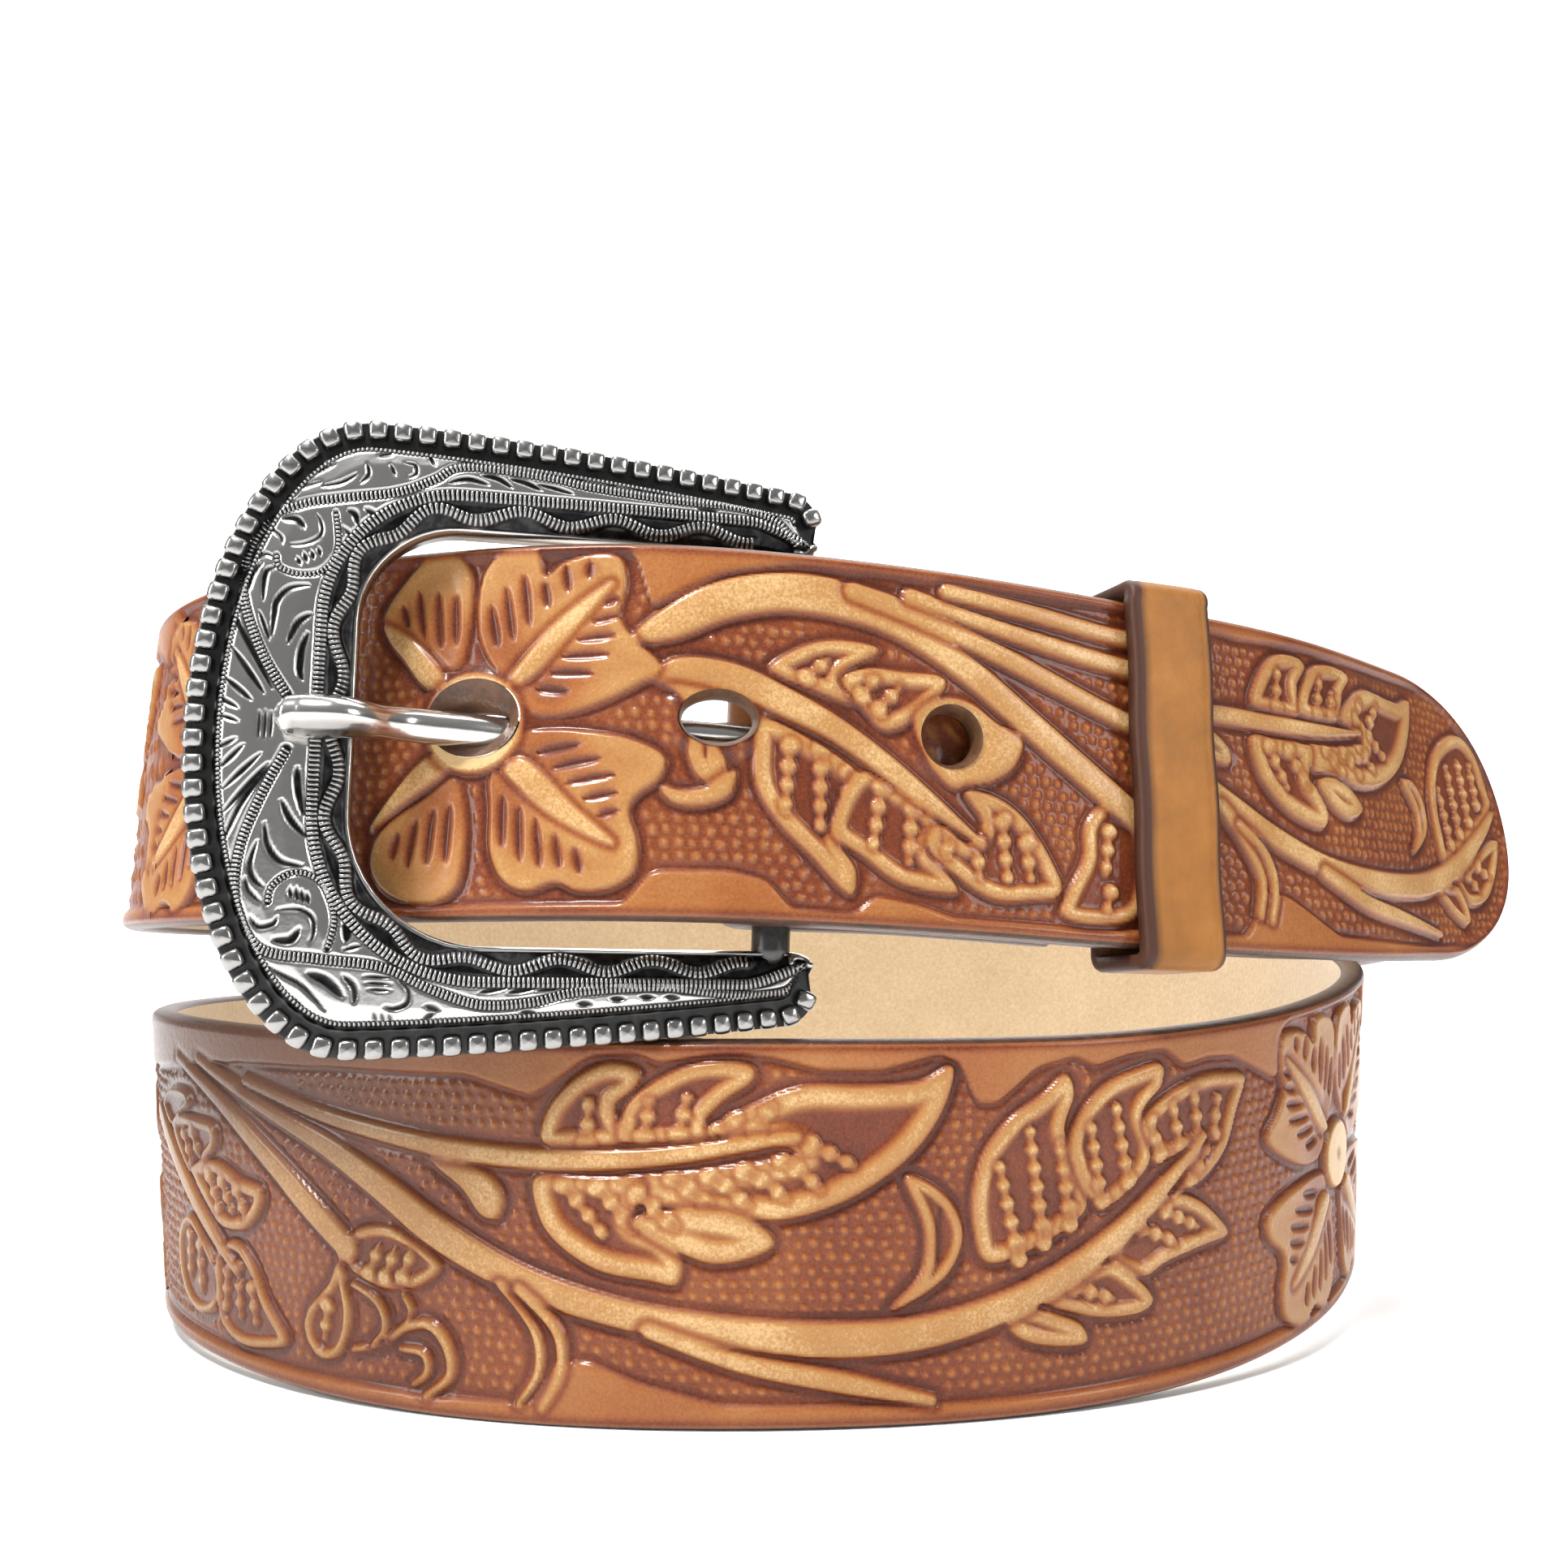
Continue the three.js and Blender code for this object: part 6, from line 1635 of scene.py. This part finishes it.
def prong_piece():
    line = smooth_curve(prong_path(), False, PRONG_SPANS)
    lengths = line_lengths(line)
    point = 1 - PRONG_POINT
    share = np.concatenate([np.linspace(0, point, PRONG_ROWS),
                            1 - PRONG_POINT * np.linspace(1, 0, PRONG_POINT_ROWS) ** 2])
    centres = np.stack([np.interp(share * lengths[-1], lengths, line[:, k]) for k in range(3)], -1)
    run = unit(np.gradient(centres, axis=0))
    run[-6:] = run[-7]
    out = unit(np.cross(run, UPWARD))
    radii = np.interp(share, *zip(*PRONG_PROFILE))
    points, faces = tube(centres, radii, unit(np.cross(out, run)), out, PRONG_SIDES)
    middle, ring_share = np.repeat(centres, PRONG_SIDES, 0), np.repeat(share, PRONG_SIDES)
    from_middle = (points - middle) / np.repeat(radii, PRONG_SIDES).clip(0.1)[:, None]
    toward = from_middle @ FACE * 0.6 - from_middle @ UPWARD * 0.8
    facet = np.exp(-((toward - 0.98) / 0.22) ** 2) * smoothstep(0.87, 0.9, ring_share)
    facet = facet * (1 - smoothstep(0.97, 0.985, ring_share))
    points = middle + (points - middle) * (1 - PRONG_FACET_DEPTH * facet)[:, None]
    item = new_object("prong_bright", in_frame(points), faces, [BRIGHT_SILVER])
    # The facet on the head's lower front side gets extra patina: painted shade along the prong's lower edge
    set_attribute(item, "patina", PRONG_PATINA + 0.5 * facet)
    worn_by_root(item, "bright_silver", "prong")


# Keeper
KEEPER_BEARING = 30.1
KEEPER_WIDTH = 10.2
KEEPER_TILT = 2.0
KEEPER_THICKNESS = 1.6
KEEPER_CLEARANCE = 0.6
KEEPER_INNER_RADIUS = 0.5
KEEPER_STEP = 0.5
KEEPER_CORNER_STEPS = 7
KEEPER_SAG = 0.12
KEEPER_LEFT_STAIN = (1.1, 1.6)
KEEPER_RIGHT_STAIN = (0.5, 1.0)
# Section of the keeper's wall: share across its width, share of its thickness from the inside
KEEPER_SECTION = [
    (-0.5, 0.0), (-0.5, 0.72), (-0.482, 0.9), (-0.45, 1.0), (-0.42, 1.0), (-0.4, 0.97), (-0.37, 1.02),
    (-0.3, 1.03), (-0.15, 1.04), (0.0, 1.04), (0.15, 1.04), (0.3, 1.03), (0.37, 1.02), (0.4, 0.97),
    (0.42, 1.0), (0.45, 1.0), (0.482, 0.9), (0.5, 0.72), (0.5, 0.0), (0.25, 0.0), (-0.25, 0.0),
]
# Two rows of that section on its outside
KEEPER_OUTSIDE = (8, 9)


def rounded_loop(width, height, radius, step):
    """Points and outward directions round a rectangle with rounded corners."""
    places, outs = [], []
    for k, (x, y) in enumerate([(1, 1), (-1, 1), (-1, -1), (1, -1)]):
        centre = np.array([x * (width / 2 - radius), y * (height / 2 - radius)])
        for turn in np.linspace(0, np.pi / 2, KEEPER_CORNER_STEPS) + k * np.pi / 2:
            out = np.array([math.cos(turn), math.sin(turn)])
            places.append(centre + out * radius)
            outs.append(out)
        span = width - 2 * radius if k % 2 == 0 else height - 2 * radius
        run = np.array([-outs[-1][1], outs[-1][0]])
        start = places[-1]
        for share in np.arange(1, int(span / step)) / int(span / step):
            places.append(start + run * span * share)
            outs.append(out)
    return np.array(places), np.array(outs)


def keeper_piece():
    origin, along, across, out = (v[0] for v in run_frame(KEEPER_BEARING))
    tip_origin, _, tip_across, _ = (v[0] for v in run_frame(TWO_TURNS + KEEPER_BEARING))
    centre = (origin + across * STRAP_WIDTH / 2 + tip_origin + tip_across * STRAP_WIDTH / 2) / 2
    up, run = turned(across, out, KEEPER_TILT), turned(along, out, KEEPER_TILT)
    depth = 2 * STRAP_THICKNESS + (LAYER_PITCH - STRAP_THICKNESS) + 2 * KEEPER_CLEARANCE
    height = STRAP_WIDTH + 2 * KEEPER_CLEARANCE
    places, outs = rounded_loop(depth, height, KEEPER_INNER_RADIUS, KEEPER_STEP)
    across_wall, through_wall = np.array(KEEPER_SECTION).T
    flat = places[:, None] + outs[:, None] * (through_wall[None] * KEEPER_THICKNESS)[..., None]
    sag = KEEPER_SAG * np.sin(np.arange(len(places)) * 0.21)[:, None]
    width = across_wall[None] * KEEPER_WIDTH + sag
    points = (centre + flat[..., :1] * out + flat[..., 1:] * up + width[..., None] * run).reshape(-1, 3)
    count, columns = width.shape
    column = np.arange(columns)
    last, after = (count - 1) * columns, (column + 1) % columns
    seam = np.stack([last + column, column, after, last + after], -1)
    faces = np.vstack([grid_faces(count, columns, closed_columns=True), seam])
    on_outside = np.isin(faces % columns, KEEPER_OUTSIDE).all(1)
    direction = np.repeat(outs[:, :1] * out + outs[:, 1:] * up, columns, 0)[faces[on_outside, 0]]
    item = new_object("keeper_loop", in_frame(points), facing(points, faces, direction, on_outside),
                      [PLAIN_LEATHER])
    left, right = (0.5 + across_wall) * KEEPER_WIDTH, (0.5 - across_wall) * KEEPER_WIDTH
    stained = np.maximum(1 - smoothstep(*KEEPER_LEFT_STAIN, left), 1 - smoothstep(*KEEPER_RIGHT_STAIN, right))
    set_attribute(item, "burnish", np.tile(stained, count))
    worn_by_root(item, "plain_leather", "keeper")


# Stage

FLOOR_WHITE = (0.93, 0.93, 0.93)
FLOOR_REACH = 1400.0
FLOOR_BACK = 700.0
FLOOR_TOP = 1600.0
FLOOR_BEND_RADIUS = 420.0
FLOOR_BEND_STEPS = 16
# Lamps: name, place, target, width and height, watts
LAMPS = [
    ("key", (-150, -330, 520), (0, -50, 50), (160, 90), 4.2),
    ("top", (60, 60, 640), (0, 0, 40), (620, 420), 2.4),
    ("left", (-520, -380, 260), (0, -60, 50), (180, 360), 2.3),
    ("right", (560, -420, 300), (0, -60, 50), (180, 320), 1.6),
    ("backdrop", (0, 360, 900), (0, 1050, 330), (1400, 500), 26.0),
]
# Surroundings: they brighten upwards and to the left from a middle value, through these greys
STUDIO_UP = 0.55
STUDIO_RIGHT = -0.25
STUDIO_MIDDLE = 0.3
STUDIO_GREYS = [(0.0, 0.1), (0.3, 0.42), (0.5, 0.5), (0.7, 0.62), (1.0, 0.9)]
STUDIO_STRENGTH = 0.62


def camera():
    data = bpy.data.cameras.new("camera")
    data.lens = CAMERA_LENS
    data.sensor_width = CAMERA_SENSOR
    item = bpy.data.objects.new("camera", data)
    item.location = in_frame(CAMERA_EYE)
    item.rotation_euler = (math.radians(90 + CAMERA_PITCH), 0, 0)
    bpy.context.scene.collection.objects.link(item)
    bpy.context.scene.camera = item


def floor():
    """A white floor that bends up into a wall behind the belt."""
    shading = Shading(bpy.data.materials.new("white_floor"))
    shading.surface({"Base Color": FLOOR_WHITE, "Roughness": 0.6})
    bend = np.linspace(0, np.pi / 2, FLOOR_BEND_STEPS)
    profile = [(-FLOOR_REACH, 0.0), (FLOOR_BACK + FLOOR_BEND_RADIUS, FLOOR_TOP)]
    profile[1:1] = [(FLOOR_BACK + FLOOR_BEND_RADIUS * math.sin(a), FLOOR_BEND_RADIUS * (1 - math.cos(a)))
                    for a in bend]
    points = [(x, y, z) for y, z in profile for x in (-FLOOR_REACH, FLOOR_REACH)]
    item = new_object("floor", np.array(points) * MM, grid_faces(len(profile), 2), [shading.owner])
    item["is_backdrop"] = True


def area_light(name, place, target, size, watts):
    data = bpy.data.lights.new(name, "AREA")
    data.shape = "RECTANGLE"
    data.size, data.size_y = (side * MM for side in size)
    data.energy = watts
    item = bpy.data.objects.new(name, data)
    item.location = np.array(place) * MM
    toward = unit(np.array(target, float) - np.array(place, float))
    item.rotation_euler = (math.acos(-toward[2]), 0, math.atan2(toward[1], toward[0]) - math.pi / 2)
    bpy.context.scene.collection.objects.link(item)


def surroundings():
    shading = Shading(bpy.data.worlds.new("studio"))
    split = shading.nodes.new("ShaderNodeSeparateXYZ")
    place = shading.nodes.new("ShaderNodeTexCoord")
    shading.feed(split.inputs, {"Vector": place.outputs["Generated"]})
    upper = shading.math("MULTIPLY", split.outputs["Z"], STUDIO_UP)
    lefter = shading.math("MULTIPLY", split.outputs["X"], STUDIO_RIGHT)
    value = shading.math("ADD", shading.math("ADD", upper, lefter), STUDIO_MIDDLE, clamp=True)
    shading.feed(shading.nodes["Background"].inputs, {
        "Color": shading.ramp(value, STUDIO_GREYS), "Strength": STUDIO_STRENGTH})
    return shading.owner


bpy.context.scene.view_settings.view_transform = "Standard"
bpy.context.scene.world = surroundings()
camera()
floor()
for lamp in LAMPS:
    area_light(*lamp)

# The hole walls' material carries painted shade inside the holes
STRAP_MATERIALS = [grain_leather(), edge_leather("burnished_edge", EDGE_DARK), flesh_leather(),
                   edge_leather("hole_wall", BORE_SHADED_BROWN)]
ANTIQUE_SILVER = silver("antique_silver", *ANTIQUE_LOOK)
BRIGHT_SILVER = silver("bright_silver", *BRIGHT_LOOK)
PLAIN_LEATHER = plain_leather()
strap_piece("strap_lower_left", LOWER_FINE[0], LOWER_MIDDLE, FINE_STEP, ["strap"])
strap_piece("strap_lower_right", LOWER_MIDDLE, LOWER_FINE[1], FINE_STEP)
strap_piece("strap_tip_run", TIP_FINE_START, TIP_MIDDLE, FINE_STEP)
strap_piece("strap_tip", TIP_MIDDLE, RUN_LENGTH, FINE_STEP)
strap_piece("strap_first_turn", TURN_START, LOWER_FINE[0], COARSE_STEP)
strap_piece("strap_second_turn", LOWER_FINE[1], TIP_FINE_START, COARSE_STEP)
fold_piece()
FRAME_ROWS = len(frame_outlines(FRAME_STEP)[0])
HALF_ROWS = FRAME_ROWS // 2
frame_piece("buckle_lower_half", slice(0, HALF_ROWS + 1), 0, ["buckle_frame"])
frame_piece("buckle_upper_half", slice(HALF_ROWS, FRAME_ROWS), -1)
beads_piece()
bar_piece()
prong_piece()
keeper_piece()
for stud in ("fold_stud_1", "fold_stud_2"):
    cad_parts[stud].data.materials.clear()
    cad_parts[stud].data.materials.append(BRIGHT_SILVER)

SIZES = {"cad": CAD_BOX, "visual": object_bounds()}
SIZES = {name: [[round(value, 6) for value in corner] for corner in box] for name, box in SIZES.items()}
